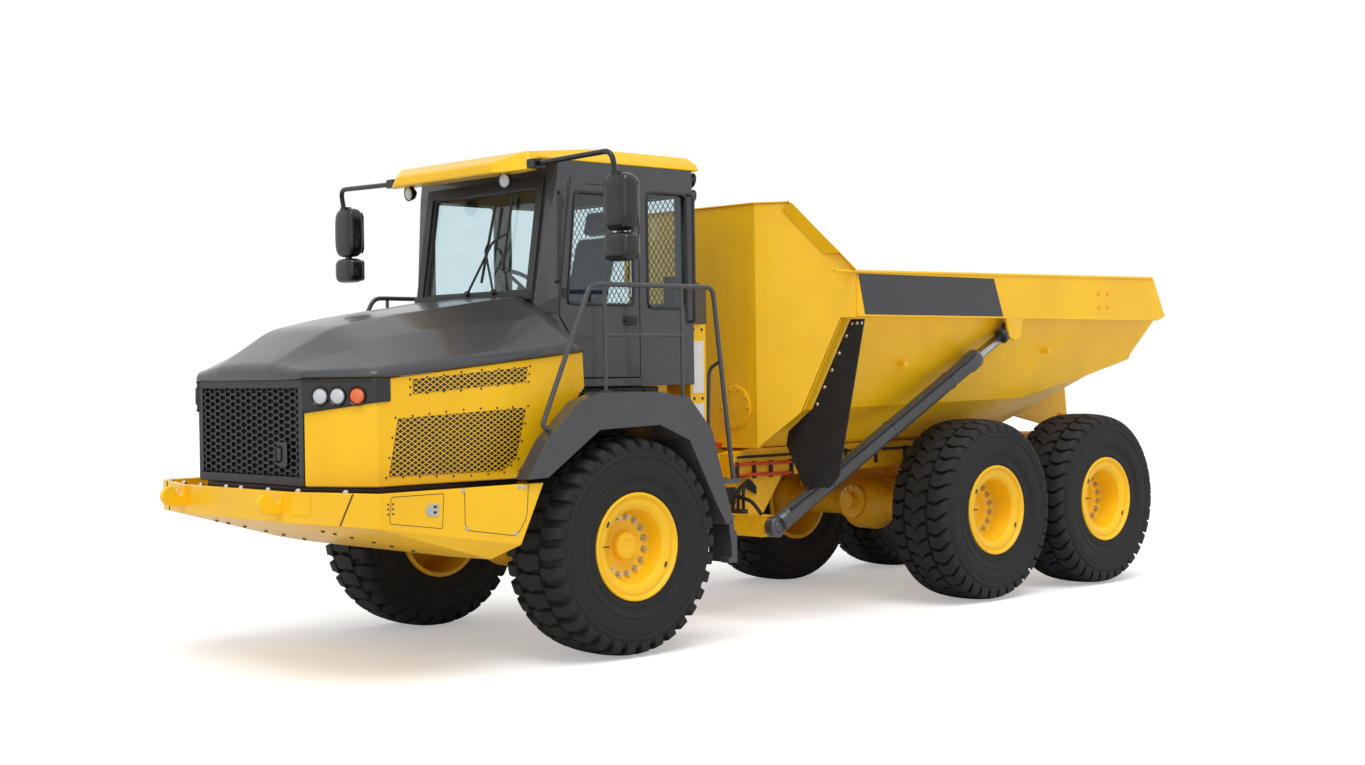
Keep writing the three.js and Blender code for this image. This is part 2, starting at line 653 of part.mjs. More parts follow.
addPair('hoist_barrel', hoistBarrelLeft(), 'grey');
addPair('hoist_rod', hoistRodLeft(), 'chrome');
addPair('steer_barrel', steerBarrelLeft(), 'grey');
addPair('steer_rod', steerRodLeft(), 'chrome');

for (const [sideName, side] of [['left', 1], ['right', -1]]) {
  addWheel(`front_${sideName}`, 0, side, FRONT_DISC_DEPTH);
  addWheel(`mid_${sideName}`, MID_AXLE_X, side, REAR_DISC_DEPTH);
  addWheel(`rear_${sideName}`, REAR_AXLE_X, side, REAR_DISC_DEPTH);
}

export default truck;
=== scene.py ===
from math import cos, pi, radians, sin
import bmesh
import bpy
import numpy as np
from mathutils import Matrix, Vector


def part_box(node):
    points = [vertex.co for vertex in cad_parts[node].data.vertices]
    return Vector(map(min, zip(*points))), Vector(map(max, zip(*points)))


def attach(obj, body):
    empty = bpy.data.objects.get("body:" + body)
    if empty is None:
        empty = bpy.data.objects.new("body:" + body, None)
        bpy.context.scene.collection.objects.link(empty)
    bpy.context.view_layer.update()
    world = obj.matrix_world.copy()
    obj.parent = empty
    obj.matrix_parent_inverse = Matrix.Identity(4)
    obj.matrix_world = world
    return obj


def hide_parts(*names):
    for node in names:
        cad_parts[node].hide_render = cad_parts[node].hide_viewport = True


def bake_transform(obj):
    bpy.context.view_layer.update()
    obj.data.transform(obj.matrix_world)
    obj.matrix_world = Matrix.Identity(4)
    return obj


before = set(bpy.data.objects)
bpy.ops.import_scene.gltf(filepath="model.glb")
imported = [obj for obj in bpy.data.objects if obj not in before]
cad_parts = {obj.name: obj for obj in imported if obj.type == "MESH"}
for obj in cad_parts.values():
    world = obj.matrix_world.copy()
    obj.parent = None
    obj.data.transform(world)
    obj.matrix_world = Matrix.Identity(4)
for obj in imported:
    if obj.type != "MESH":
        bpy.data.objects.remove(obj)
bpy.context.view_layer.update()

# Metres everywhere. Points are given from the front axle: +X forward, +Y to the truck's left, +Z up.
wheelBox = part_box("tyre_front_left")
axleX = (wheelBox[0][0] + wheelBox[1][0]) / 2
wheelY = (wheelBox[0][1] + wheelBox[1][1]) / 2
axleZ = (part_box("rim_front_left")[0][2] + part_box("rim_front_left")[1][2]) / 2
sides = (("left", 1), ("right", -1))
alongX, alongY, alongZ = (1, 0, 0), (0, 1, 0), (0, 0, 1)


def rowPoints(points):
    # Points counted from the front axle, moved along X to the frame's own origin
    return np.asarray(points, float) + [axleX, 0, 0]


def gridFaces(rows, columns, wrapRows=False, wrapColumns=False):
    # Quads between neighbours of a grid numbered row by row; a wrapped side joins back to the first
    i = np.arange(rows if wrapRows else rows - 1)
    j = np.arange(columns if wrapColumns else columns - 1)
    i, j = np.meshgrid(i, j, indexing="ij")
    ni, nj = (i + 1) % rows, (j + 1) % columns
    quads = [i * columns + j, ni * columns + j, ni * columns + nj, i * columns + nj]
    return np.stack(quads, -1).reshape(-1, 4)


def ringFaces(rings, count, closed=False):
    # Walls between neighbouring rings, and a cap over each end unless the last ring joins the first
    faces = gridFaces(rings, count, closed, True)[:, ::-1].tolist()
    if not closed:
        last = rings * count
        faces += [list(range(count - 1, -1, -1)), list(range(last - count, last))]
    return faces


def upright(outline, y):
    # An outline in (x, z) stood up at one y
    return [(x, y, z) for x, z in outline]


def roundAbout(count, first=0):
    # Cosine and sine of evenly spaced turns, started 'first' steps round
    turns = [2 * pi * (k + first) / count for k in range(count)]
    return [(cos(a), sin(a)) for a in turns]


def arc(centre, radius, first, last, count):
    # Flat points round a centre, from one angle in degrees to another
    a = np.radians(np.linspace(first, last, count))
    return np.array(centre) + radius * np.column_stack([np.cos(a), np.sin(a)])


def sideAxes(axis):
    # Two unit vectors square to an axis, so that u, v and the axis are right-handed
    axis = np.asarray(axis, float) / np.linalg.norm(axis)
    u = np.cross([0, 0, 1.0] if abs(axis[2]) < 0.9 else [1.0, 0, 0], axis)
    u /= np.linalg.norm(u)
    return u, np.cross(axis, u), axis


def roundedPath(points, bend, steps=6):
    # Each inner corner P becomes (1-t)^2 A + 2t(1-t) P + t^2 B, with A and B 'bend' before and after it
    points = np.asarray(points, float)
    if not bend or len(points) < 3:
        return points
    before, corner, after = points[:-2], points[1:-1], points[2:]
    toBefore, toAfter = before - corner, after - corner
    lengthBefore = np.linalg.norm(toBefore, axis=1)[:, None]
    lengthAfter = np.linalg.norm(toAfter, axis=1)[:, None]
    reach = np.minimum(bend, 0.49 * np.minimum(lengthBefore, lengthAfter))
    a, b = corner + toBefore / lengthBefore * reach, corner + toAfter / lengthAfter * reach
    t = np.linspace(0, 1, steps)[None, :, None]
    curve = (1 - t) ** 2 * a[:, None] + 2 * t * (1 - t) * corner[:, None] + t ** 2 * b[:, None]
    return np.vstack([points[:1], curve.reshape(-1, 3), points[-1:]])


def closedLoop(corners, bend):
    # A closed outline with rounded corners, started in the middle of its first edge
    corners = np.asarray(corners, float)
    start = (corners[0] + corners[-1]) / 2
    return roundedPath(np.vstack([start, corners, start]), bend)[:-1]


class Pile:
    # Collects closed shapes, in points from the front axle, that end up as one mesh
    def __init__(self):
        self.verts, self.faces, self.count = [], [], 0

    def add(self, verts, faces):
        verts = np.asarray(verts, float).reshape(-1, 3)
        self.verts.append(verts)
        self.faces += [[int(k) + self.count for k in face] for face in faces]
        self.count += len(verts)
        return self

    def box(self, low, high):
        corners = np.array(np.meshgrid(*zip(low, high), indexing="ij")).reshape(3, -1).T
        quads = [(0, 1, 3, 2), (4, 6, 7, 5), (0, 4, 5, 1), (2, 3, 7, 6), (0, 2, 6, 4), (1, 5, 7, 3)]
        return self.add(corners, quads)

    def prism(self, outline, offset):
        # A flat outline and its copy moved by the offset, with a wall between them
        outline, offset = np.asarray(outline, float), np.asarray(offset, float)
        spread = outline - outline[0]
        if np.dot(np.cross(spread, np.roll(spread, -1, 0)).sum(0), offset) > 0:
            outline = outline[::-1]
        n = len(outline)
        faces = [(i, i + n, (i + 1) % n + n, (i + 1) % n) for i in range(n)]
        faces += [range(n), range(2 * n - 1, n - 1, -1)]
        return self.add(np.vstack([outline, outline + offset]), faces)

    def lathe(self, profile, centre, axis, count=32, closed=False):
        # Point = centre + offset * axis + radius * (u cos a + v sin a) for pairs (radius, offset)
        profile = np.asarray(profile, float)
        u, v, w = sideAxes(axis)
        a = np.arange(count) * 2 * pi / count
        ring = np.cos(a)[:, None] * u + np.sin(a)[:, None] * v
        body = profile[profile[:, 0] > 0]
        verts = (body[:, :1, None] * ring + body[:, 1:, None] * w).reshape(-1, 3) + np.asarray(centre, float)
        return self.add(verts, ringFaces(len(body), count, closed))

    def rod(self, start, end, radius, count=16):
        start, end = np.asarray(start, float), np.asarray(end, float)
        length = np.linalg.norm(end - start)
        edge = min(radius * 0.15, length * 0.2)
        profile = [(radius - edge, 0), (radius, edge), (radius, length - edge), (radius - edge, length)]
        return self.lathe(profile, start, end - start, count)

    def tube(self, path, radius, count=12, bend=0.0, closed=False):
        # Rings about each point of a path, square to its direction, turned as little as possible
        path = roundedPath(path, bend)
        step = np.roll(path, -1, 0) - path
        step /= np.linalg.norm(step, axis=1)[:, None]
        ahead = step + np.roll(step, 1, 0)
        if not closed:
            ahead[0], ahead[-1] = step[0], step[-2]
        ahead /= np.linalg.norm(ahead, axis=1)[:, None]
        u = [sideAxes(ahead[0])[0]]
        for t in ahead[1:]:
            across = u[-1] - t * np.dot(u[-1], t)
            u.append(across / np.linalg.norm(across))
        u = np.array(u)
        v = np.cross(ahead, u)
        a = (np.arange(count) * 2 * pi / count)[None, :, None]
        verts = path[:, None] + radius * (np.cos(a) * u[:, None] + np.sin(a) * v[:, None])
        return self.add(verts, ringFaces(len(path), count, closed))

    def bolt(self, place, axis, radius, height):
        # A washer with a six-sided head on it
        u, v, w = sideAxes(axis)
        place = np.asarray(place, float)
        self.lathe([(radius * 1.4, 0), (radius * 1.3, height * 0.3)], place, w, 14)
        return self.lathe([(radius, 0), (radius, height * 0.8), (radius * 0.8, height)], place, w, 6)

    def onSide(self, side):
        # A copy, on the other side of the truck when side is -1
        return Pile().add(np.vstack(self.verts) * [1, side, 1], [face[::side] for face in self.faces])

    def join(self, other):
        return self.add(np.vstack(other.verts), other.faces)

    def mirrored(self):
        # The same shapes again on the other side of the truck
        return self.join(self.onSide(-1))

    def build(self, name, finish, body, **options):
        return newPiece(name, np.vstack(self.verts), self.faces, finish, body, **options)


def newPiece(name, verts, faces, finish, body, **options):
    mesh = bpy.data.meshes.new(name)
    mesh.from_pydata(rowPoints(verts).reshape(-1, 3).tolist(), [], [list(face) for face in faces])
    return dress(name, mesh, finish, body, **options)


def dress(name, mesh, finish, body, crease=32, bevel=0.0, turns=2, thickness=0.0, replaces=()):
    # Smooth shading with creases kept sharp, then the wall and the rounded edges as modifiers
    material, slot = finishes[finish]
    mesh.polygons.foreach_set("use_smooth", np.ones(len(mesh.polygons), bool))
    mesh.set_sharp_from_angle(angle=radians(crease))
    mesh.materials.clear()
    mesh.materials.append(material)
    piece = bpy.data.objects.new(name, mesh)
    bpy.context.scene.collection.objects.link(piece)
    if thickness:
        wall = piece.modifiers.new("wall", "SOLIDIFY")
        wall.thickness, wall.offset = thickness, -1
    if bevel:
        edge = piece.modifiers.new("edges", "BEVEL")
        edge.width, edge.segments = bevel, turns
        edge.limit_method, edge.angle_limit = "ANGLE", radians(25)
        edge.harden_normals = True
    if body:
        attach(piece, body)
    if replaces:
        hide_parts(*replaces)
    return piece


def refined(node, finish, body, bevel, turns=2):
    # A copy of a CAD node with merged corners, flat faces joined up and edges rounded
    made = bmesh.new()
    made.from_mesh(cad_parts[node].data)
    bmesh.ops.remove_doubles(made, verts=made.verts, dist=1e-5)
    bmesh.ops.dissolve_limit(made, angle_limit=radians(1), verts=made.verts, edges=made.edges)
    mesh = bpy.data.meshes.new(node + "_rounded")
    made.to_mesh(mesh)
    made.free()
    return dress(node + "_rounded", mesh, finish, body, crease=40, bevel=bevel, turns=turns, replaces=(node,))


# Camera, world, lamps and floor
cameraLook = {"place": (10.931, 11.17, 2.047), "yaw": -2.327, "pitch": -0.007, "roll": -0.014, "lens": 48.37}
lightLook = {"sky": 0.62, "sun": 1.55, "sunFrom": (0.28, 0.42, 1.0), "sunWidth": 38, "fill": 0.45,
             "fillFrom": (1.0, 0.55, 0.25)}


def setCamera(look):
    # Forward d from yaw and pitch; right and up square to it, then both turned by the roll
    yaw, pitch, roll = look["yaw"], look["pitch"], look["roll"]
    d = np.array([cos(pitch) * cos(yaw), cos(pitch) * sin(yaw), sin(pitch)])
    right = np.cross(d, [0, 0, 1])
    right /= np.linalg.norm(right)
    up = np.cross(right, d)
    turnedRight = right * cos(roll) + up * sin(roll)
    turnedUp = up * cos(roll) - right * sin(roll)
    lens = bpy.data.cameras.new("camera")
    lens.lens, lens.sensor_width, lens.clip_end = look["lens"], 36, 400
    camera = bpy.data.objects.new("camera", lens)
    turn = Matrix([Vector(turnedRight), Vector(turnedUp), Vector(-d)]).transposed()
    camera.matrix_world = Matrix.Translation(Vector(look["place"])) @ turn.to_4x4()
    bpy.context.scene.collection.objects.link(camera)
    bpy.context.scene.camera = camera


def addSun(name, strength, width, towards):
    lamp = bpy.data.lights.new(name, "SUN")
    lamp.energy, lamp.angle = strength, radians(width)
    holder = bpy.data.objects.new(name, lamp)
    holder.rotation_euler = Vector(towards).to_track_quat("Z", "Y").to_euler()
    bpy.context.scene.collection.objects.link(holder)


class Link:
    # A shader output that takes part in Python sums; every operator adds a Math node
    def __init__(self, finish, socket):
        self.finish, self.socket = finish, socket

    def math(self, operation, first, second):
        return self.finish.node("ShaderNodeMath", {"operation": operation}, {0: first, 1: second})

    def __add__(self, other):
        return self.math("ADD", self, other)

    def __sub__(self, other):
        return self.math("SUBTRACT", self, other)

    def __rsub__(self, other):
        return self.math("SUBTRACT", other, self)

    def __mul__(self, other):
        return self.math("MULTIPLY", self, other)

    __radd__, __rmul__ = __add__, __mul__

    def largest(self, other):
        return self.math("MAXIMUM", self, other)

    def rise(self, low, high):
        # 0 up to low, 1 from high on, smooth between them
        return self.finish.node("ShaderNodeMapRange", {"interpolation_type": "SMOOTHSTEP"},
                                {"Value": self, "From Min": low, "From Max": high})


class Tree:
    # Adds nodes to a material or the world: type, settings, socket values or links, and the output to hand back
    def __init__(self, owner):
        owner.use_nodes = True
        self.tree = owner.node_tree

    def node(self, kind, settings={}, values={}, output=0):
        made = self.tree.nodes.new(kind)
        for key, value in settings.items():
            setattr(made, key, value)
        for key, value in values.items():
            if isinstance(value, Link):
                self.tree.links.new(value.socket, made.inputs[key])
            else:
                made.inputs[key].default_value = value
        return Link(self, made.outputs[output]) if len(made.outputs) else made


class Finish(Tree):
    def __init__(self, name, constants):
        self.material = bpy.data.materials.new(name)
        super().__init__(self.material)
        self.shader = self.tree.nodes["Principled BSDF"]
        for key, value in constants.items():
            self.shader.inputs[key].default_value = value
        self.place = self.node("ShaderNodeTexCoord", output="Object")
        apart = self.tree.nodes.new("ShaderNodeSeparateXYZ")
        self.tree.links.new(self.place.socket, apart.inputs[0])
        self.x, self.y, self.z = (Link(self, socket) for socket in apart.outputs)

    def noise(self, scale, detail=3.0, rough=0.55):
        return self.node("ShaderNodeTexNoise", {}, {"Vector": self.place, "Scale": scale, "Detail": detail,
                                                    "Roughness": rough})

    def blend(self, factor, first, second):
        return self.node("ShaderNodeMix", {"data_type": "RGBA"}, {0: factor, 6: first, 7: second}, 2)

    def feed(self, name, value):
        self.tree.links.new(value.socket, self.shader.inputs[name])
        return self

    def relief(self, height, depth, strength=1.0):
        # The height, 0 to 1, pushed out by a depth in metres
        self.feed("Normal", self.node("ShaderNodeBump", {}, {"Strength": strength, "Distance": depth,
                                                            "Height": height}))
        return self


def linear(red, green, blue, alpha=1.0):
    # Screen numbers 0 to 255 as light: ((c + 0.055) / 1.055) ^ 2.4
    return tuple(((c / 255 + 0.055) / 1.055) ** 2.4 for c in (red, green, blue)) + (alpha,)


def shade(rgb, factor, lift=0.0):
    # The same colour with its light scaled and lifted
    return tuple(min(1.0, c * factor + lift) for c in linear(*rgb)[:3]) + (1.0,)


def paint(name, rgb, rough, coat, dust, grain=0.00025):
    # Sprayed paint: faint patches of lighter and darker coat, orange peel, and dust that thins with height
    made = Finish(name, {"Coat Weight": coat, "Coat Roughness": 0.1, "Specular IOR Level": 0.35})
    patches = made.noise(1.7, 4.0).rise(0.3, 0.7)
    specks = made.noise(46.0, 2.0).rise(0.45, 0.75)
    low = 1 - made.z.rise(0.15, 1.5)
    film = (low * 0.7 + 0.12) * made.noise(7.0, 5.0, 0.65).rise(0.35, 0.8) * dust + specks * 0.02
    coats = made.blend(patches, shade(rgb, 0.93), shade(rgb, 1.04))
    made.feed("Base Color", made.blend(film, coats, linear(186, 172, 140)))
    made.feed("Roughness", patches * 0.06 + film * 0.5 + rough)
    peel = made.noise(120.0, 2.0) * 0.7 + made.noise(14.0, 2.0) * 0.3
    return made.relief(peel, grain).material


def casting(name, rgb, rough, grain):
    # A painted casting: coarse sand texture with painted shade in its hollows, and dust low down
    made = Finish(name, {"Specular IOR Level": 0.45})
    sand = made.noise(38.0, 6.0, 0.7)
    pitShadeMix = sand.rise(0.25, 0.6)
    # Painted shade: where the sand texture is low, in its hollows, the colour is darkened to 0.72 of itself
    base = made.blend(pitShadeMix, shade(rgb, 0.72), linear(*rgb))
    film = (1 - made.z.rise(0.2, 1.2)) * made.noise(6.0, 4.0).rise(0.4, 0.8) * 0.3
    made.feed("Base Color", made.blend(film, base, linear(150, 138, 115)))
    made.feed("Roughness", film * 0.3 + (1 - pitShadeMix) * 0.12 + rough)
    return made.relief(sand + made.noise(240.0, 2.0) * 0.3, grain).material


def plastic(name, rgb, rough, scale=420.0, grain=0.00035):
    # Moulded plastic: fine leather-like cells, slightly greyer where it is scuffed
    made = Finish(name, {})
    cells = made.node("ShaderNodeTexVoronoi", {"feature": "F1"}, {"Vector": made.place, "Scale": scale})
    scuff = made.noise(9.0, 5.0, 0.7).rise(0.5, 0.85)
    made.feed("Base Color", made.blend(scuff * 0.5, linear(*rgb), shade(rgb, 1.8, 0.006)))
    made.feed("Roughness", scuff * 0.12 + rough)
    return made.relief(cells, grain, 0.6).material


def rubber(name, rgb, rough, dust):
    # Rubber: soft mottling, pale dust in broad patches and fine pores
    made = Finish(name, {"Specular IOR Level": 0.35})
    mottle = made.noise(5.0, 5.0, 0.6).rise(0.3, 0.75)
    fine = made.noise(90.0, 3.0, 0.6)
    base = made.blend(mottle, linear(*rgb), shade(rgb, 1.6))
    film = made.noise(2.3, 6.0, 0.7).rise(0.45, 0.9) * dust
    made.feed("Base Color", made.blend(film, base, linear(118, 110, 98)))
    made.feed("Roughness", fine * 0.16 + mottle * 0.08 + rough)
    return made.relief(fine * 0.6 + made.noise(420.0, 2.0) * 0.4, 0.0009).material


def metal(name, rgb, rough, scratch=0.0001):
    # Bright metal: roughness that drifts, with hair scratches
    made = Finish(name, {"Metallic": 1.0})
    smear = made.noise(11.0, 5.0, 0.65)
    made.feed("Base Color", made.blend(smear.rise(0.4, 0.8), linear(*rgb), shade(rgb, 0.82)))
    made.feed("Roughness", smear * 0.16 + rough)
    return made.relief(made.noise(300.0, 2.0), scratch).material


def cloth(name, rgb):
    # Woven cloth: two sets of threads crossing at right angles, with flecks of lighter yarn
    made = Finish(name, {"Sheen Weight": 0.4, "Sheen Roughness": 0.4, "Specular IOR Level": 0.2})
    threads = [made.node("ShaderNodeTexWave", {"wave_type": "BANDS", "bands_direction": direction},
                         {"Vector": made.place, "Scale": 95.0, "Distortion": 0.6, "Detail": 1.0}, 1)
               for direction in "XYZ"]
    weave = threads[0] * 0.34 + threads[1] * 0.33 + threads[2] * 0.33
    fleck = made.noise(160.0, 2.0).rise(0.55, 0.7)
    base = made.blend(weave, shade(rgb, 0.6), linear(*rgb))
    made.feed("Base Color", made.blend(fleck * 0.35, base, linear(150, 152, 156)))
    made.feed("Roughness", weave * 0.15 + 0.75)
    return made.relief(weave, 0.0012).material


def glass(name):
    # Clear pane: a thin grey film of dust in soft patches
    made = Finish(name, {"IOR": 1.45, "Transmission Weight": 1.0})
    film = made.noise(4.0, 5.0, 0.6).rise(0.45, 0.85)
    made.feed("Base Color", made.blend(film * 0.25, linear(226, 240, 243), linear(214, 226, 228)))
    made.feed("Roughness", film * 0.03 + 0.01)
    return made.relief(made.noise(3.0, 2.0), 0.0002).material


def lens(name, rgb, glow):
    # Moulded lamp glass: ribs across it over a bright reflector
    made = Finish(name, {"Coat Weight": 1.0, "Coat Roughness": 0.03, "Emission Strength": glow,
                         "Emission Color": linear(*rgb)})
    ribs = made.node("ShaderNodeTexWave", {"bands_direction": "Z"}, {"Vector": made.place, "Scale": 32.0}, 1)
    made.feed("Base Color", made.blend(ribs * 0.5, linear(*rgb), shade(rgb, 0.55)))
    made.feed("Roughness", ribs * 0.1 + 0.12)
    return made.relief(ribs, 0.0015).material


# Each finish is a material and a slot name
finishes = {
    "yellow": (paint("yellowPaint", (255, 196, 0), 0.4, 0.18, 0.16), "yellow_paint"),
    "grey": (paint("greyPaint", (62, 63, 67), 0.3, 0.4, 0.08), "grey_paint"),
    "stripe": (paint("stripePaint", (56, 57, 61), 0.42, 0.2, 0.08), "grey_paint"),
    "white": (paint("whitePlate", (226, 226, 222), 0.4, 0.3, 0.3), "yellow_paint"),
    "yellowCast": (casting("yellowCasting", (246, 184, 4), 0.46, 0.0009), "yellow_paint"),
    "iron": (casting("darkIron", (44, 44, 47), 0.55, 0.0012), "dark_iron"),
    "black": (plastic("blackPlastic", (30, 30, 31), 0.42), "black_plastic"),
    "gloss": (plastic("glossBlack", (24, 24, 26), 0.2, 60.0, 0.00005), "black_plastic"),
    "tyre": (rubber("tyreRubber", (24, 24, 25), 0.6, 0.07), "tyre_rubber"),
    "flap": (rubber("flapRubber", (24, 24, 25), 0.55, 0.06), "flap_rubber"),
    "hose": (rubber("hoseRubber", (22, 22, 23), 0.5, 0.05), "flap_rubber"),
    "redHose": (plastic("redSleeve", (196, 62, 26), 0.5, 500.0), "black_plastic"),
    "chrome": (metal("hardChrome", (172, 175, 180), 0.09), "chrome_rod"),
    "zinc": (metal("zincBolts", (196, 194, 188), 0.26, 0.0003), "chrome_rod"),
    "cloth": (cloth("seatCloth", (84, 90, 100)), "seat_fabric"),
    "glass": (glass("paneGlass"), "clear_glass"),
    "lamp": (lens("lampGlass", (208, 212, 216), 0.0), "clear_glass"),
    "amber": (lens("amberGlass", (238, 98, 14), 0.08), "clear_glass"),
    "red": (lens("redGlass", (176, 20, 14), 0.05), "clear_glass"),
}

# The finish of every CAD node, by the start of its name; the last row takes all the others
nodeFinish = {
    "tyre": "tyre", "rim": "yellow", "engine": "iron", "front_axle": "yellowCast", "mid_axle": "yellowCast",
    "rear_axle": "yellowCast", "windscreen": "glass", "door_glass": "glass", "seat": "cloth", "mirror": "gloss",
    "dashboard": "black", "grille": "black", "fender": "grey", "handrail": "grey", "cab_": "grey",
    "hoist_rod": "chrome", "steer_rod": "chrome", "hoist_barrel": "grey", "steer_barrel": "grey",
    "bin_flap": "flap", "": "yellow",
}
for nodeName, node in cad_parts.items():
    start = next(key for key in nodeFinish if nodeName.startswith(key))
    for holder in node.material_slots:
        holder.material = finishes[nodeFinish[start]][0]


def setWorld(look):
    # White to the camera, to mirrors and through glass; a softer light on the truck
    world = bpy.data.worlds.new("studio")
    bpy.context.scene.world = world
    made = Tree(world)
    made.tree.nodes.clear()
    path = [made.node("ShaderNodeLightPath", {}, {}, name)
            for name in ("Is Camera Ray", "Is Glossy Ray", "Is Transmission Ray")]
    seen = path[0].largest(path[1]).largest(path[2])
    soft = made.node("ShaderNodeBackground", {}, {"Color": (1, 1, 1, 1), "Strength": look["sky"]})
    white = made.node("ShaderNodeBackground", {}, {"Color": (1, 1, 1, 1), "Strength": 1.0})
    both = made.node("ShaderNodeMixShader", {}, {0: seen, 1: soft, 2: white})
    made.node("ShaderNodeOutputWorld", {}, {0: both})


def addFloor(reach):
    # A flat pale disc whose own light, seen by the camera only, lifts it to white outside the shadow
    angle = np.arange(64) * 2 * pi / 64
    mesh = bpy.data.meshes.new("floor")
    rim = np.stack([reach * np.cos(angle), reach * np.sin(angle), np.zeros(64)], 1)
    mesh.from_pydata(rim.tolist(), [], [list(range(64))])
    made = Finish("floorPaper", {"Base Color": (0.8, 0.8, 0.8, 1), "Roughness": 0.9,
                                 "Specular IOR Level": 0.0})
    seen = made.node("ShaderNodeLightPath", {}, {}, "Is Camera Ray")
    lift = made.node("ShaderNodeEmission", {}, {"Color": (1, 1, 1, 1), "Strength": seen * 0.36})
    both = made.node("ShaderNodeAddShader", {}, {0: Link(made, made.shader.outputs[0]), 1: lift})
    made.tree.links.new(both.socket, made.tree.nodes["Material Output"].inputs[0])
    mesh.materials.append(made.material)
    floor = bpy.data.objects.new("floor", mesh)
    bpy.context.scene.collection.objects.link(floor)


setCamera(cameraLook)
setWorld(lightLook)
addSun("key", lightLook["sun"], lightLook["sunWidth"], lightLook["sunFrom"])
addSun("fill", lightLook["fill"], 60, lightLook["fillFrom"])
addFloor(60.0)
bpy.context.scene.view_settings.view_transform = "Standard"
print("camera, light and finishes set")

# Half a tyre section from the middle of the tread to its shoulder: offset and radius of the block tops,
# offset and radius of the groove floor, and the band it lies in: 1 middle, 2 shoulder, 0 no blocks
tyreSection = [
    (0.0, 0.79, 0.0, 0.756, 1), (0.03, 0.79, 0.03, 0.7558, 1),
    (0.062, 0.7892, 0.062, 0.7552, 1), (0.092, 0.788, 0.092, 0.754, 1),
    (0.11, 0.7868, 0.111, 0.753, 1), (0.115, 0.753, 0.115, 0.75, 0),
    (0.131, 0.7525, 0.131, 0.749, 0), (0.136, 0.7852, 0.135, 0.7475, 2),
    (0.165, 0.782, 0.165, 0.744, 2), (0.2, 0.7775, 0.2, 0.738, 2),
    (0.235, 0.77, 0.232, 0.73, 2), (0.262, 0.76, 0.254, 0.72, 2),
    (0.277, 0.75, 0.266, 0.711, 2), (0.284, 0.735, 0.274, 0.7, 2),
    (0.288, 0.715, 0.279, 0.692, 2), (0.291, 0.695, 0.284, 0.684, 2),
    (0.285, 0.683, 0.285, 0.68, 0),
]
# The sidewall and bead, as offset and radius
tyreWall = [
    (0.2865, 0.67), (0.296, 0.662), (0.297, 0.648), (0.289, 0.638), (0.2935, 0.615),
    (0.2945, 0.58), (0.291, 0.54), (0.2855, 0.508), (0.29, 0.503), (0.283, 0.496),
    (0.276, 0.456), (0.274, 0.444), (0.278, 0.436), (0.278, 0.418), (0.274, 0.402),
    (0.266, 0.39), (0.23, 0.3872),
]
# Lugs round the tyre, half widths of a middle block and a shoulder lug in parts of the pitch, and how far
# the grooves lean, wave and bow
treads = {
    "front": {"lugs": 34, "middle": 0.405, "shoulder": 0.305, "lean": 0.1, "wave": 0.16, "bow": 0.08,
              "wall": 0.03},
    "rear": {"lugs": 36, "middle": 0.432, "shoulder": 0.405, "lean": 0.62, "wave": 0.55, "bow": 0.1,
             "wall": 0.024},
}


def tyreSurface(look):
    # Grid of section row by line round the tyre. Angle = (lug + place in pitch + lean) * 2 pi / lugs, where the
    # place of each wall follows its block; radius and offset = groove floor + block mask * (top - floor)
    half = np.array(tyreSection + [(y, r, y, r, 0) for y, r in tyreWall])
    section = np.vstack([half[:0:-1] * [-1, 1, -1, 1, 1], half])
    offset, band = section[:, 0], section[:, 4]
    across = np.abs(offset) / 0.29
    middle = np.abs(offset) < 0.123
    hexagon = look["bow"] * (1 - (np.abs(offset) / 0.115).clip(0, 1) * 2)
    edge = np.where(middle, 0.5 - look["middle"] - hexagon * 0.5, look["shoulder"])
    w = look["wall"]
    start, centre = np.zeros(len(edge)), np.full(len(edge), 0.5)
    place = np.stack([start, edge - w, edge + w, centre, 1 - edge - w, 1 - edge + w], 1)
    shoulderMask, middleMask = np.array([1, 1, 0, 0, 0, 1.0]), np.array([0, 0, 1, 1, 1, 0.0])
    mask = np.where(band[:, None] == 2, shoulderMask, np.where(band[:, None] == 1, middleMask, 0))
    lean = look["lean"] * across + look["wave"] * np.sin(pi * across * 2) * 0.5
    lugs = np.arange(look["lugs"])
    angle = (lugs[None, :, None] + (place + lean[:, None])[:, None, :]) * 2 * pi / look["lugs"]
    count = look["lugs"] * place.shape[1]
    angle = angle.reshape(len(section), count)
    mask = np.tile(mask, (1, look["lugs"]))
    radius = section[:, 3:4] + mask * (section[:, 1:2] - section[:, 3:4])
    y = section[:, 2:3] + mask * (section[:, 0:1] - section[:, 2:3])
    verts = np.stack([radius * np.cos(angle), y, radius * np.sin(angle)], -1).reshape(-1, 3)
    return verts, gridFaces(len(section), count, True, True)


rimLook = {"sides": 96, "boltCircle": 0.206, "bolts": 16, "boltSize": 0.0185, "boltHeight": 0.028}


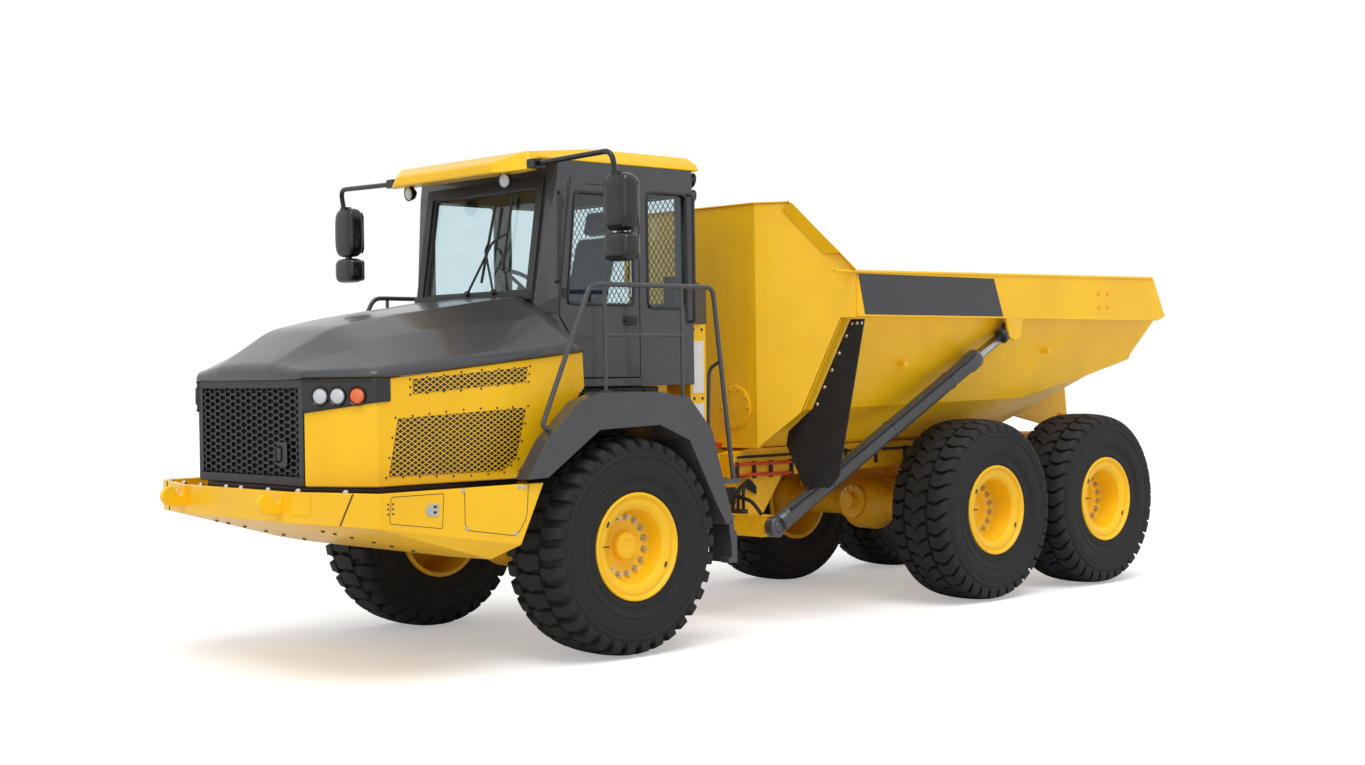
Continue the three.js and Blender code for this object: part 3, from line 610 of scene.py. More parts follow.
def rimSection(disc, hub):
    # Radius and offset towards the outer face, from the disc's middle round to its back
    cap = [(0.046, disc + 0.06), (0.05, disc + 0.066), (0.086, disc + 0.066), (0.096, disc + 0.058),
           (0.1, disc + 0.048), (0.104, disc + 0.01), (0.116, disc + 0.002), (0.126, disc)]
    flat = [(0.03, disc), (0.036, disc + 0.003), (0.11, disc + 0.003), (0.116, disc), (0.126, disc)]
    return (cap if hub else flat) + [
        (0.168, disc), (0.172, disc + 0.004), (0.228, disc + 0.004), (0.236, disc + 0.008),
        (0.246, disc + 0.022), (0.252, disc + 0.045), (0.264, 0.225), (0.268, 0.238), (0.276, 0.247),
        (0.286, 0.25), (0.29, 0.256), (0.344, 0.262), (0.35, 0.258), (0.356, 0.262), (0.361, 0.274),
        (0.368, 0.281), (0.377, 0.2835), (0.385, 0.28), (0.388, 0.272), (0.3865, 0.262), (0.384, 0.2),
        (0.384, -0.278), (0.376, -0.281), (0.352, -0.28), (0.345, -0.27), (0.345, disc - 0.03),
    ]


def wheel(name, side, x, tread, disc, hub):
    # One tyre, its rim, and the bolts, clips and valve on the rim, all turned about the axle line
    centre = np.array([x, side * wheelY, axleZ])
    turn = np.array([side, side, 1.0])
    verts, faces = tyreSurface(tread)
    newPiece("tyreTread_" + name, verts * turn + centre, faces, "tyre", "wheel_" + name,
             crease=38, replaces=("tyre_" + name,))
    rim = Pile().lathe(rimSection(disc, hub), centre, (0, side, 0), rimLook["sides"])
    rim.build("rimDish_" + name, "yellow", "wheel_" + name, crease=50, replaces=("rim_" + name,))
    bolts, clips = Pile(), Pile()
    for along, up in rimLook["boltCircle"] * np.array(roundAbout(rimLook["bolts"], 0.5)):
        place = centre + [along, side * (disc + 0.003), up]
        bolts.bolt(place, (0, side, 0), rimLook["boltSize"], rimLook["boltHeight"])
    for a in (0.55, 0.61, 3.6, 3.66):
        place = centre + np.array([0.318 * cos(a), side * 0.258, 0.318 * sin(a)])
        clips.box(place - [0.007, 0.006, 0.012], place + [0.007, 0.006, 0.012])
    stem = centre + np.array([0.3, side * 0.252, 0.02])
    clips.tube([stem, stem + [0.01, side * 0.02, 0], stem + [-0.03, side * 0.028, 0.0]], 0.005, 8, 0.01)
    bolts.build("rimBolts_" + name, "zinc", "wheel_" + name)
    clips.build("rimClips_" + name, "black", "wheel_" + name, bevel=0.001)


midX, rearX = [(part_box(f"tyre_{row}_left")[0][0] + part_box(f"tyre_{row}_left")[1][0]) / 2 - axleX
               for row in ("mid", "rear")]
for sideName, side in sides:
    wheel("front_" + sideName, side, 0.0, treads["front"], 0.1, True)
    wheel("mid_" + sideName, side, midX, treads["rear"], 0.03, False)
    wheel("rear_" + sideName, side, rearX, treads["rear"], 0.03, False)
print("wheels made")

# Hood shell: five rails from the middle line out to the lower edge, each a list of (x, y, z) from nose to cab
hoodLook = {"wall": 0.018, "noseRound": 0.15, "creaseRound": 0.028, "alongSteps": 14}
hoodRails = [
    [(2.27, 0.0, 2.021), (2.303, 0.0, 2.098), (1.99, 0.0, 2.277), (1.84, 0.0, 2.362), (1.43, 0.0, 2.447),
     (0.372, 0.0, 2.592)],
    [(2.268, 0.34, 2.021), (2.296, 0.32, 2.09), (1.99, 0.375, 2.264), (1.84, 0.4, 2.352), (1.43, 0.45, 2.436),
     (0.372, 0.6, 2.586)],
    [(2.262, 0.53, 2.021), (2.276, 0.5, 2.074), (1.97, 0.67, 2.176), (1.86, 0.74, 2.224), (1.43, 0.8, 2.32),
     (0.35, 0.9, 2.44)],
    [(2.254, 0.68, 2.021), (2.256, 0.664, 2.058), (1.978, 1.105, 2.07), (1.88, 1.118, 2.08),
     (1.43, 1.124, 2.128), (0.25, 1.132, 2.242)],
    [(2.249, 0.69, 2.0205), (2.25, 0.694, 2.024), (1.99, 1.148, 2.0215), (1.88, 1.152, 2.0215),
     (1.43, 1.153, 2.066), (0.23, 1.16, 2.186)],
]


def hoodSurface(look):
    # Rails are rounded lengthwise; at each station the rails' points are rounded crosswise, then mirrored
    rails = np.array([alongRail(rail, look) for rail in hoodRails])
    half = np.array([roundedPath(rails[:, k], look["creaseRound"], 5) for k in range(rails.shape[1])])
    other = half[:, :0:-1] * [1, -1, 1]
    return np.concatenate([other, half], 1)


def alongRail(rail, look):
    # A rounded rail sampled evenly between its rounded corners, so that stations on all rails match
    path = roundedPath(rail, look["noseRound"], 7)
    length = np.concatenate([[0], np.cumsum(np.linalg.norm(np.diff(path, axis=0), axis=1))])
    knots = np.array([0, *length[3:25:7], length[-1]])
    spans = [np.linspace(a, b, look["alongSteps"], endpoint=False) for a, b in zip(knots, knots[1:])]
    s = np.append(np.concatenate(spans), length[-1])
    return np.stack([np.interp(s, length, path[:, k]) for k in range(3)], 1)


hood = hoodSurface(hoodLook)
rows, columns = hood.shape[:2]
newPiece("hoodShell", hood, gridFaces(rows, columns), "grey", "hood", crease=50,
         thickness=hoodLook["wall"], replaces=("hood_top",))


def hoodPoint(s, t, lift):
    # Point on the left facet below the shoulder crease, at parts s along and t down, raised along its normal
    a, b = [np.stack([np.interp(s, np.linspace(0, 1, 3), np.array(hoodRails[k])[3:, i]) for i in range(3)], -1)
            for k in (2, 3)]
    normal = np.cross(np.array(hoodRails[3][4]) - hoodRails[2][4], np.array(hoodRails[2][5]) - hoodRails[2][3])
    normal *= np.sign(normal[2]) / np.linalg.norm(normal)
    return a + (b - a) * t + normal * lift


def hoodVents(body):
    # A long black louvre on each shoulder: a thin plate with slanted slats across it
    plate, slats = Pile(), Pile()
    ends = [hoodPoint(s, t, 0.002) for s, t in ((0.16, 0.47), (0.9, 0.55), (0.86, 0.67), (0.14, 0.62))]
    up = hoodPoint(0.5, 0.2, 1.0) - hoodPoint(0.5, 0.2, 0.0)
    plate.prism(ends, up * 0.004)
    for s in np.linspace(0.17, 0.86, 52):
        slats.rod(hoodPoint(s, 0.48 + s * 0.1, 0.008), hoodPoint(s - 0.008, 0.6 + s * 0.07, 0.008), 0.004, 6)
    plate.mirrored().build("hoodVentPlate", "black", body, bevel=0.002)
    slats.mirrored().build("hoodVentSlats", "gloss", body)


def sideBars(outline, place, pitch, slope, width, depth):
    # Strips at a slope across a convex outline in (x, z), cut where they meet its edges
    outline = np.array(outline)
    along = np.array([cos(slope), sin(slope)])
    square = np.array([-along[1], along[0]])
    levels = outline @ square
    pile = Pile()
    for level in np.arange(levels.min() + pitch * 0.5, levels.max(), pitch):
        after = np.roll(levels, -1)
        crossed = (levels - level) * (after - level) < 0
        t = ((level - levels) / (after - levels + 1e-12))[crossed][:, None]
        ends = outline[crossed] + (np.roll(outline, -1, 0)[crossed] - outline[crossed]) * t
        if len(ends) == 2 and np.linalg.norm(ends[0] - ends[1]) > 0.01:
            corners = [ends[0] - square * width, ends[1] - square * width, ends[1] + square * width,
                       ends[0] + square * width]
            pile.prism(upright(corners, place), (0, depth, 0))
    return pile


meshLook = {"pitch": 0.03, "slope": 0.55, "barWidth": 0.0026, "barDepth": 0.002, "face": 1.1525,
            "boltPitch": 0.14, "lifts": (0.0025, 0.003)}
meshPanels = {
    "upper": [(1.7, 1.912), (1.7, 2.008), (0.734, 2.082), (0.75, 1.978)],
    "lower": [(1.9, 1.375), (1.82, 1.752), (0.755, 1.8), (0.848, 1.453), (0.972, 1.371)],
}


def meshPanel(name, outline):
    # Expanded metal: two crossing sets of strips over a black backing of painted shade, standing for the dark
    # bay behind the openings, with a rim of small bolts
    face = meshLook["face"]
    shadeBacking = Pile().prism(upright(outline, face), (0, 0.0025, 0)).mirrored()
    shadeBacking.build(name + "MeshShadeBacking", "black", "hood")
    bars = Pile()
    for turn, lift in zip((1, -1), meshLook["lifts"]):
        bars.join(sideBars(outline, face + lift, meshLook["pitch"], turn * meshLook["slope"],
                           meshLook["barWidth"], meshLook["barDepth"]))
    bars.mirrored().build(name + "Mesh", "yellow", "hood")
    corners = np.array(outline)
    middle = corners.mean(0)
    bolts = Pile()
    for a, b in zip(corners, np.roll(corners, -1, 0)):
        steps = max(2, round(np.linalg.norm(b - a) / meshLook["boltPitch"]))
        for t in np.arange(steps) / steps:
            p = a + (b - a) * t
            p = p + (p - middle) / np.linalg.norm(p - middle) * 0.022
            bolts.bolt((p[0], face, p[1]), alongY, 0.0055, 0.006)
    bolts.mirrored().build(name + "MeshBolts", "iron", "hood")


grilleLook = {"rows": 13, "columns": 18, "halfWidth": 0.636, "low": 1.365, "high": 1.965, "point": 0.017,
              "bar": 0.006, "front": 2.2515, "depth": 0.018, "frameHalf": 0.69}


def hexGrille(look):
    # Every cell is a ring between a hexagon with points left and right and a smaller one inside it, carried
    # back by a depth; each second column sits half a cell higher
    height = (look["high"] - look["low"]) / look["rows"]
    step = look["halfWidth"] * 2 / look["columns"]
    w, h, p = (step + look["point"]) / 2, height / 2, look["point"]
    outer = np.array([(-w, 0), (p - w, h), (w - p, h), (w, 0), (w - p, -h), (p - w, -h)])
    inner = outer * (1 - look["bar"] / np.array([w, h]))
    ring = np.vstack([outer, inner])
    cell = np.vstack([np.c_[np.zeros(12), ring], np.c_[np.full(12, -look["depth"]), ring]])
    k = np.arange(6)
    n = (k + 1) % 6
    faces = np.vstack([np.stack(f, 1) for f in (
        (k, n, n + 6, k + 6)[::-1], (k + 12, k + 18, n + 18, n + 12)[::-1], (k, k + 12, n + 12, n)[::-1],
        (k + 6, n + 6, n + 18, k + 18)[::-1])])
    grids = np.meshgrid(np.arange(look["rows"]), np.arange(look["columns"] + 1), indexing="ij")
    row, column = [grid.ravel() for grid in grids]
    keep = (column % 2 == 0) | (row < look["rows"] - 1)
    y = -look["halfWidth"] + column * step
    z = look["low"] + (row + 0.5 + (column % 2) * 0.5) * height
    centres = np.stack([np.full(len(y), look["front"]), y, z], 1)[keep]
    verts = (centres[:, None] + cell).reshape(-1, 3)
    return verts, (np.arange(len(centres))[:, None, None] * 24 + faces).reshape(-1, 4)


def grille(look):
    # Hexagonal mesh in a deep frame, the dark core behind it, and a small pull handle
    verts, faces = hexGrille(look)
    newPiece("grilleMesh", verts, faces, "black", "hood", crease=30)
    frameBars = Pile()
    x, edge, inner = look["front"], look["frameHalf"], look["halfWidth"] - 0.004
    low, high = look["low"] + 0.006, look["high"] - 0.004
    for y0, z0, y1, z1 in ((-edge, 1.312, edge, low), (-edge, high, edge, 2.018), (-edge, low, -inner, high),
                           (inner, low, edge, high)):
        frameBars.box((x - 0.042, y0, z0), (x + 0.004, y1, z1))
    frameBars.build("grilleFrame", "black", "hood", bevel=0.004, replaces=("grille",))
    core = Pile().box((x - 0.041, -0.66, 1.33), (x - 0.034, 0.66, 2.0))
    for z in np.linspace(1.36, 1.97, 44):
        core.box((x - 0.036, -0.65, z), (x - 0.028, 0.65, z + 0.004))
    core.build("grilleCore", "black", "hood")
    pull = Pile().box((x + 0.001, 0.37, 1.44), (x + 0.012, 0.5, 1.6))
    pull.tube([(x + 0.008, 0.395, 1.465), (x + 0.036, 0.395, 1.475), (x + 0.036, 0.395, 1.565),
               (x + 0.008, 0.395, 1.575)], 0.008, 10, 0.02)
    pull.build("grillePull", "gloss", "hood", bevel=0.003)


headlampLook = {"low": 1.792, "high": 2.018, "lamps": ((0.135, "lamp"), (0.262, "lamp"), (0.405, "amber")),
                "radius": 0.054, "slant": 0.127}


def headlamps(look):
    # A dark housing laid on the slanted corner and the flank behind it, with two white lamps and an amber one
    a, b, c = np.array([2.252, 0.688]), np.array([1.99, 1.154]), np.array([1.875, 1.154])
    out = np.array([0.871, 0.49])
    housing = Pile()
    outline = [a, b, c, c + [0.012, 0.01], b + [0.006, 0.012], a + out * 0.014]
    housing.prism([(x, y, look["low"]) for x, y in outline], (0, 0, look["high"] - look["low"]))
    ring = housing.verts[0]
    lower = ring[:, 2] < look["low"] + 0.001
    ring[lower, 2] += look["slant"] * np.linalg.norm(ring[lower, :2] - a, axis=1)
    housing.mirrored().build("lampHousing", "black", "hood", bevel=0.006)
    along = (b - a) / np.linalg.norm(b - a)
    normal = np.array([out[0], out[1], 0])
    middle = (look["low"] + look["high"]) / 2
    lamps = {"lamp": Pile(), "amber": Pile()}
    bezels = Pile()
    r = look["radius"]
    for distance, kind in look["lamps"]:
        x, y = a + along * distance + out * 0.006
        bezels.lathe([(r * 1.16, 0), (r * 1.22, 0.012), (r * 1.12, 0.02), (r * 1.0, 0.016), (r * 0.96, 0.004)],
                     (x, y, middle), normal, 40)
        lamps[kind].lathe([(r * 0.97, 0), (r * 0.97, 0.01), (r * 0.8, 0.017), (r * 0.45, 0.021),
                           (r * 0.08, 0.022)], (x, y, middle), normal, 36)
    start, end = a + out * 0.0145, b + np.array([0.004, 0.0125]) - along * 0.03
    bars = Pile()
    for z, rise in ((look["low"] + 0.012, look["slant"] * 0.5), (look["high"] - 0.012, 0.0)):
        bars.rod((*start, z), (*end, z + rise), 0.006, 8)
    bezels.mirrored().build("lampBezels", "gloss", "hood", crease=50)
    bars.mirrored().build("lampTrim", "gloss", "hood")
    lamps["lamp"].mirrored().build("headLamps", "lamp", "hood", crease=60)
    lamps["amber"].mirrored().build("turnLamps", "amber", "hood", crease=60)


hoodVents("hood")
for panelName, panelOutline in meshPanels.items():
    meshPanel(panelName, panelOutline)
grille(grilleLook)
headlamps(headlampLook)
for sideName, side in sides:
    refined("hood_side_" + sideName, "yellow", "hood", 0.01, 3)
print("hood made")

bumperLook = {
    "top": ((2.4, 0.72, 1.286), (2.16, 1.42, 1.286), (0.82, 1.42, 1.29)),
    "fold": ((2.4, 0.72, 1.085), (2.16, 1.42, 1.062), (1.02, 1.42, 0.88)),
    "belly": ((1.21, 1.33, 0.79), (1.21, 0.88, 0.78)),
    "wall": 0.045, "face": 1.4195,
    "hookCentre": (2.508, 1.211), "hookRadius": 0.07, "throat": (2.445, 1.236), "throatRadius": 0.025,
    "hatch": ((2.066, 1.262), (1.656, 1.262), (1.672, 1.035), (2.081, 1.093)),
    "panel": ((1.49, 1.287), (1.488, 1.012), (1.06, 0.944), (0.972, 1.06), (0.955, 1.287)),
}


def bumperTub(look):
    # Open tub of flat plates: an upright front, two corners and two sides, a chamfer and a rising belly
    half = np.array(look["top"] + look["fold"] + look["belly"])
    verts = np.vstack([half, half * [1, -1, 1]])
    left = [(0, 3, 4, 1), (1, 4, 5, 2), (4, 3, 6), (4, 6, 5), (3, 7, 6)]
    right = [[k + 8 for k in face[::-1]] for face in left]
    Pile().add(verts, left + right + [(8, 11, 3, 0), (3, 11, 15, 7)]).build(
        "bumperTub", "yellow", "tractor", bevel=0.007, turns=3, thickness=look["wall"],
        replaces=("bumper",))


def towHooks(look):
    # Outline of a hook: most of a circle, then the round throat behind it and the root against the front plate
    circle = arc(look["hookCentre"], look["hookRadius"], -90, 100, 16)
    throat = arc(look["throat"], look["throatRadius"], 0, -180, 9)
    outline = np.vstack([[(2.39, 1.141)], circle, throat, [(2.419, 1.284), (2.39, 1.284)]])
    hooks = Pile().prism(upright(outline, 0.62), (0, 0.05, 0))
    hooks.mirrored().build("towHooks", "yellow", "tractor", bevel=0.006, turns=3)


def bumperDetails(look):
    # Side hatch and panel shown by their seams, a slanting corner joint, latch, screws and the front's cap
    seams, screws, darkScrews, latch, caps = Pile(), Pile(), Pile(), Pile(), Pile()
    face = look["face"]
    seams.tube(closedLoop(upright(look["hatch"], face), 0.02), 0.0024, 6, closed=True)
    seams.tube(upright(look["panel"], face), 0.0028, 6, 0.05)
    seams.tube([(2.228, 1.23, 1.284), (2.262, 1.128, 1.076)], 0.0045, 6)
    corners = ((0.765, 1.138), (0.765, 1.255), (0.905, 1.255), (0.905, 1.138))
    caps.prism([(2.4 - (y - 0.72) * 0.3429, y, z) for y, z in corners], (0.0047, 0.0016, 0))
    for x in (2.09, 2.053):
        for z in (1.154, 1.186, 1.217):
            darkScrews.bolt((x, face, z), alongY, 0.0055, 0.004)
    plate = ((1.7, 1.12), (1.775, 1.12), (1.805, 1.148), (1.805, 1.172), (1.775, 1.2), (1.7, 1.2))
    latch.prism(upright(plate, face), (0, 0.006, 0))
    for z in (1.136, 1.172):
        darkScrews.box((1.72, 1.424, z), (1.742, 1.4285, z + 0.016))
    for x, z in ((1.5, 1.272), (1.035, 1.27), (0.995, 1.27), (1.474, 1.022), (1.07, 0.958)):
        screws.bolt((x, face, z), alongY, 0.012, 0.008)
    for x, y in ((2.375, 0.45), (2.375, 0.1), (2.34, 0.76), (2.23, 1.15)):
        screws.lathe([(0.02, 0), (0.02, 0.012), (0.01, 0.022)], (x, y, 1.284), alongZ, 16)
    for x, z in ((2.12, 1.012), (2.028, 0.989), (1.896, 0.955), (1.722, 0.911), (1.576, 0.873), (1.4, 0.828)):
        darkScrews.bolt((x, 0.7, z), (0.248, 0, -0.969), 0.012, 0.01)
    caps.mirrored().build("bumperCaps", "yellow", "tractor", bevel=0.001)
    seams.mirrored().build("bumperSeams", "iron", "tractor")
    screws.mirrored().build("bumperScrews", "zinc", "tractor")
    darkScrews.mirrored().build("bumperDarkScrews", "iron", "tractor")
    latch.mirrored().build("bumperLatch", "zinc", "tractor", bevel=0.001)


# Black strip of painted shade along the lower edge of the bonnet: its path, low and high edges, and thickness
hoodShadeStripLook = {"path": ((2.212, 0.0), (2.212, 0.655), (1.945, 1.098), (0.8, 1.098)), "low": 1.235, "high": 1.335,
             "thick": 0.008}


def hoodShadeStrip(look):
    # Black strip inside the lower edge of the bonnet: painted shade for the dark gap above the tub, so that
    # nothing shows through there
    points = np.array(look["path"])
    points = np.vstack([points[:0:-1] * [1, -1], points])
    count = len(points)
    verts = np.vstack([np.column_stack([points, np.full(count, z)]) for z in (look["low"], look["high"])])
    faces = [(k, k + 1, k + 1 + count, k + count) for k in range(count - 1)]
    Pile().add(verts, faces).build("hoodShadeStrip", "black", "hood", thickness=look["thick"])


def cabUnderside():
    # Dark tub under the cab floor with ribs across it
    tub = Pile()
    outline = [(0.32, 1.924), (0.3, 1.7), (0.08, 1.56), (-0.1, 1.47), (-0.8, 1.47), (-0.845, 1.7),
               (-0.845, 1.924)]
    tub.prism(upright(outline, -0.78), (0, 1.56, 0))
    for x in (-0.7, -0.5, -0.3, -0.1):
        tub.box((x - 0.02, -0.795, 1.5), (x + 0.02, 0.795, 1.9))
    tub.build("cabUnderside", "iron", "tractor", bevel=0.01)


bumperTub(bumperLook)
towHooks(bumperLook)
bumperDetails(bumperLook)
hoodShadeStrip(hoodShadeStripLook)
cabUnderside()
refined("front_frame", "yellowCast", "tractor", 0.006)
for sideName, side in sides:
    refined("fender_" + sideName, "grey", "tractor", 0.012, 3)
print("bumper and fenders made")

cabLook = {"half": 0.85, "gasket": 0.011, "pane": 0.006, "guardPitch": 0.045, "guardBar": 0.003}
quarterWindow = [(-1.09, 2.52), (-0.68, 2.52), (-0.68, 3.4), (-1.09, 3.4)]
sideWindow = [(-0.54, 2.52), (0.09, 2.52), (0.09, 3.4), (-0.54, 3.4)]
doorWindow = [(-0.53, 2.54), (0.12, 2.54), (0.035, 3.365), (-0.53, 3.365)]
rearWindow = [(-0.69, 2.56), (0.69, 2.56), (0.69, 3.4), (-0.69, 3.4)]
screenEdge = [(0.305, 0.64, 2.64), (0.191, 0.64, 3.4), (0.191, -0.64, 3.4), (0.305, -0.64, 2.64)]


def cabWindows(look):
    # Rubber gaskets round every opening, and the panes that have no CAD node of their own
    gaskets, doorGasket, panes, guard = Pile(), Pile(), Pile(), Pile()
    y = look["half"]
    for outline, place in ((quarterWindow, y), (quarterWindow, -y), (sideWindow, -y)):
        gaskets.tube(closedLoop(upright(outline, place), 0.06), look["gasket"], 8, closed=True)
        panes.prism(upright(outline, place * 0.975), (0, look["pane"], 0))
    gaskets.tube(closedLoop([(-1.161, y, z) for y, z in rearWindow], 0.06), look["gasket"], 8, closed=True)
    panes.prism([(-1.14, y, z) for y, z in rearWindow], (look["pane"], 0, 0))
    gaskets.tube(closedLoop(screenEdge, 0.05), look["gasket"] * 1.3, 8, closed=True)
    doorGasket.tube(closedLoop(upright(doorWindow, 0.8525), 0.06), look["gasket"], 8, closed=True)
    for slope in (0.9, -0.9):
        bars = sideBars([(y * 1.01, z) for y, z in rearWindow], 0.0, look["guardPitch"], slope,
                        look["guardBar"], 0.004)
        turned = np.vstack(bars.verts)[:, [1, 0, 2]] + [-1.186, 0, 0]
        guard.add(turned, [face[::-1] for face in bars.faces])
    guard.tube(closedLoop([(-1.182, y * 1.01, z) for y, z in rearWindow], 0.03), 0.009, 8, closed=True)
    gaskets.build("windowGaskets", "black", "tractor")
    doorGasket.build("doorGasket", "black", "cab_door")
    panes.build("sidePanes", "glass", "tractor")
    guard.build("rearGuard", "black", "tractor")


def cabOutside():
    # Black surround and cowl of the windscreen, wipers, grab rails, door handle and hinges
    surround, wipers, rails, door = Pile(), Pile(), Pile(), Pile()
    low, high, out = np.array([0.341, 0, 2.6]), np.array([0.208, 0, 3.478]), np.array([0.006, 0, 0.001])
    glassEdge, pillarEdge = np.array([0, 0.645, 0]), np.array([0, 0.722, 0])
    for side in (1, -1):
        surround.prism([low + side * glassEdge, low + side * pillarEdge, high + side * pillarEdge,
                        high + side * glassEdge], out)
        pillar = [(0.331, 0.722, 2.47), (0.203, 0.853, 2.47), (0.062, 0.853, 3.478), (0.19, 0.722, 3.478)]
        surround.prism(np.array(pillar) * [1, side, 1], (0.006, side * 0.006, 0.001))
    top = high + (low - high) * 0.09
    surround.prism([top - glassEdge, top + glassEdge, high + glassEdge, high - glassEdge], out)
    surround.box((0.3, -0.72, 2.575), (0.365, 0.72, 2.636))
    surround.build("screenSurround", "black", "tractor", bevel=0.004)
    for pivot, elbow, tipLow, tipHigh in np.array([
            ((0.372, 0.3, 2.64), (0.322, 0.16, 2.96), (0.322, 0.1, 2.72), (0.224, 0.16, 3.3)),
            ((0.372, -0.02, 2.64), (0.312, 0.24, 3.02), (0.3, 0.33, 2.8), (0.214, 0.36, 3.36))]):
        wipers.lathe([(0.022, 0), (0.024, 0.012), (0.016, 0.03)], pivot - [0.012, 0, 0], (1, 0, 0.15), 18)
        wipers.tube([pivot, elbow + [0.012, 0, 0], (tipLow + tipHigh) / 2 + [0.01, 0, 0]], 0.009, 8, 0.03)
        wipers.rod(tipLow + [0.006, 0, 0], tipHigh + [0.008, 0, 0], 0.011, 8)
    wipers.build("wipers", "black", "tractor")
    rails.tube([(-1.105, 0.852, 2.42), (-1.125, 0.895, 2.42), (-1.125, 0.895, 3.4), (-1.105, 0.852, 3.4)],
               0.013, 12, 0.03)
    rails.tube([(0.215, 0.842, 2.7), (0.222, 0.885, 2.7), (0.19, 0.885, 3.35), (0.18, 0.842, 3.35)],
               0.011, 10, 0.03)
    rails.build("cabGrabRails", "black", "tractor")
    door.box((-0.56, 0.8525, 2.385), (-0.43, 0.862, 2.455))
    door.tube([(-0.545, 0.858, 2.42), (-0.545, 0.884, 2.42), (-0.445, 0.884, 2.42), (-0.445, 0.858, 2.42)],
              0.007, 10, 0.012)
    for z in (2.2, 2.62, 3.28):
        door.rod((0.15, 0.8565, z - 0.035), (0.15, 0.8565, z + 0.035), 0.01, 14)
    door.build("doorHandle", "gloss", "cab_door", bevel=0.002)


def cabLamps():
    # Round work lamps on each side: one under the visor and two stacked behind the cab
    shells, glasses = Pile(), Pile()
    places = [((0.47, 0.6, 3.44), (1, 0.1, -0.12)), ((-1.215, 0.77, 3.53), (-1, 0.25, -0.15)),
              ((-1.215, 0.77, 3.4), (-1, 0.25, -0.2))]
    for place, axis in places:
        axis = np.array(axis) / np.linalg.norm(axis)
        place = np.array(place)
        shells.lathe([(0.022, -0.045), (0.048, -0.022), (0.056, 0.012), (0.06, 0.016), (0.058, 0.024),
                      (0.05, 0.018)], place, axis, 28)
        shells.rod(place - axis * 0.02, place - axis * 0.02 + [0, 0, 0.055], 0.01, 10)
        glasses.lathe([(0.049, 0.016), (0.049, 0.02), (0.036, 0.027), (0.016, 0.03)], place, axis, 28)
    shells.mirrored().build("workLampShells", "black", "tractor", crease=45)
    glasses.mirrored().build("workLamps", "lamp", "tractor", crease=60)


def ridgedBlock(centre, half, power, rows=25, columns=48):
    # Rounded block: signed powers of sine and cosine of latitude and longitude, scaled by the half sizes;
    # pole rows are drawn in to a small disc
    lat = np.linspace(-0.5, 0.5, rows)[:, None] * pi * 0.998
    lon = np.arange(columns)[None, :] * 2 * pi / columns
    bend = lambda value: np.sign(value) * np.abs(value) ** power
    x = bend(np.cos(lat)) * bend(np.cos(lon))
    y = bend(np.cos(lat)) * bend(np.sin(lon))
    z = bend(np.sin(lat)) + 0 * lon
    verts = np.stack([x, y, z], -1).reshape(-1, 3) * half + centre
    return verts, ringFaces(rows, columns)


mirrorLook = {"armRadius": 0.02, "power": 0.5, "heads": (((0.325, 1.69, 3.21), (0.075, 0.13, 0.2)),
                                                         ((0.325, 1.69, 2.9), (0.075, 0.13, 0.1))),
              "glass": ((-1, -0.8), (-0.8, -1), (0.8, -1), (1, -0.8), (1, 0.8), (0.8, 1), (-0.8, 1), (-1, 0.8))}


def mirrors(look):
    # Two rounded heads on a bent arm each side, their glasses facing back, and the bracket on the roof
    arm, heads, glasses = Pile(), Pile(), Pile()
    arm.tube([(0.42, 0.876, 3.54), (0.4, 1.69, 3.56), (0.37, 1.69, 3.4)], look["armRadius"], 14, 0.09)
    arm.rod((0.33, 1.69, 2.99), (0.33, 1.69, 3.03), 0.028, 18)
    arm.box((0.37, 0.84, 3.505), (0.47, 0.93, 3.572))
    arm.box((0.32, 1.655, 3.36), (0.385, 1.725, 3.42))
    for centre, half in look["heads"]:
        heads.add(*ridgedBlock(centre, half, look["power"]))
        y, z = half[1] * 0.8, half[2] * 0.84
        glass = [(0.2502, centre[1] + a * y, centre[2] + b * z) for a, b in look["glass"]]
        glasses.prism(glass, (-0.004, 0, 0))
    for name, side in sides:
        arm.onSide(side).build("mirrorArm_" + name, "gloss", "tractor", bevel=0.003,
                               replaces=("mirror_" + name,))
        heads.onSide(side).build("mirrorHeads_" + name, "gloss", "tractor", crease=60)
        glasses.onSide(side).build("mirrorGlass_" + name, "chrome", "tractor", bevel=0.001)


def handrails():
    # Walkway rail: a bent tube over two posts on bolted feet, a middle bar, and a grab tube by the steps
    rails, feet = Pile(), Pile()
    rails.tube([(0.735, 1.402, 1.636), (0.808, 1.392, 1.672), (0.32, 1.35, 2.66), (-0.88, 1.35, 2.66),
                (-1.02, 1.4, 1.227)], 0.018, 16, 0.07)
    for x, z in ((0.19, 1.893), (-0.56, 1.84)):
        rails.rod((x, 1.35, z), (x, 1.35, 2.66), 0.014)
        feet.box((x - 0.045, 1.315, z), (x + 0.045, 1.385, z + 0.01))
        for step in (-0.03, 0.03):
            feet.bolt((x + step, 1.35, z + 0.01), alongZ, 0.007, 0.007)
    rails.rod((0.19, 1.35, 2.3), (-0.56, 1.35, 2.3), 0.012)
    rails.tube([(-0.93, 1.355, 2.1), (-0.93, 1.25, 2.05), (-0.96, 1.2, 1.62), (-1.0, 1.2, 1.23)],
               0.014, 12, 0.08)
    for name, side in sides:
        rails.onSide(side).build("handrailTubes_" + name, "grey", "tractor", replaces=("handrail_" + name,))
        feet.onSide(side).build("handrailFeet_" + name, "grey", "tractor")


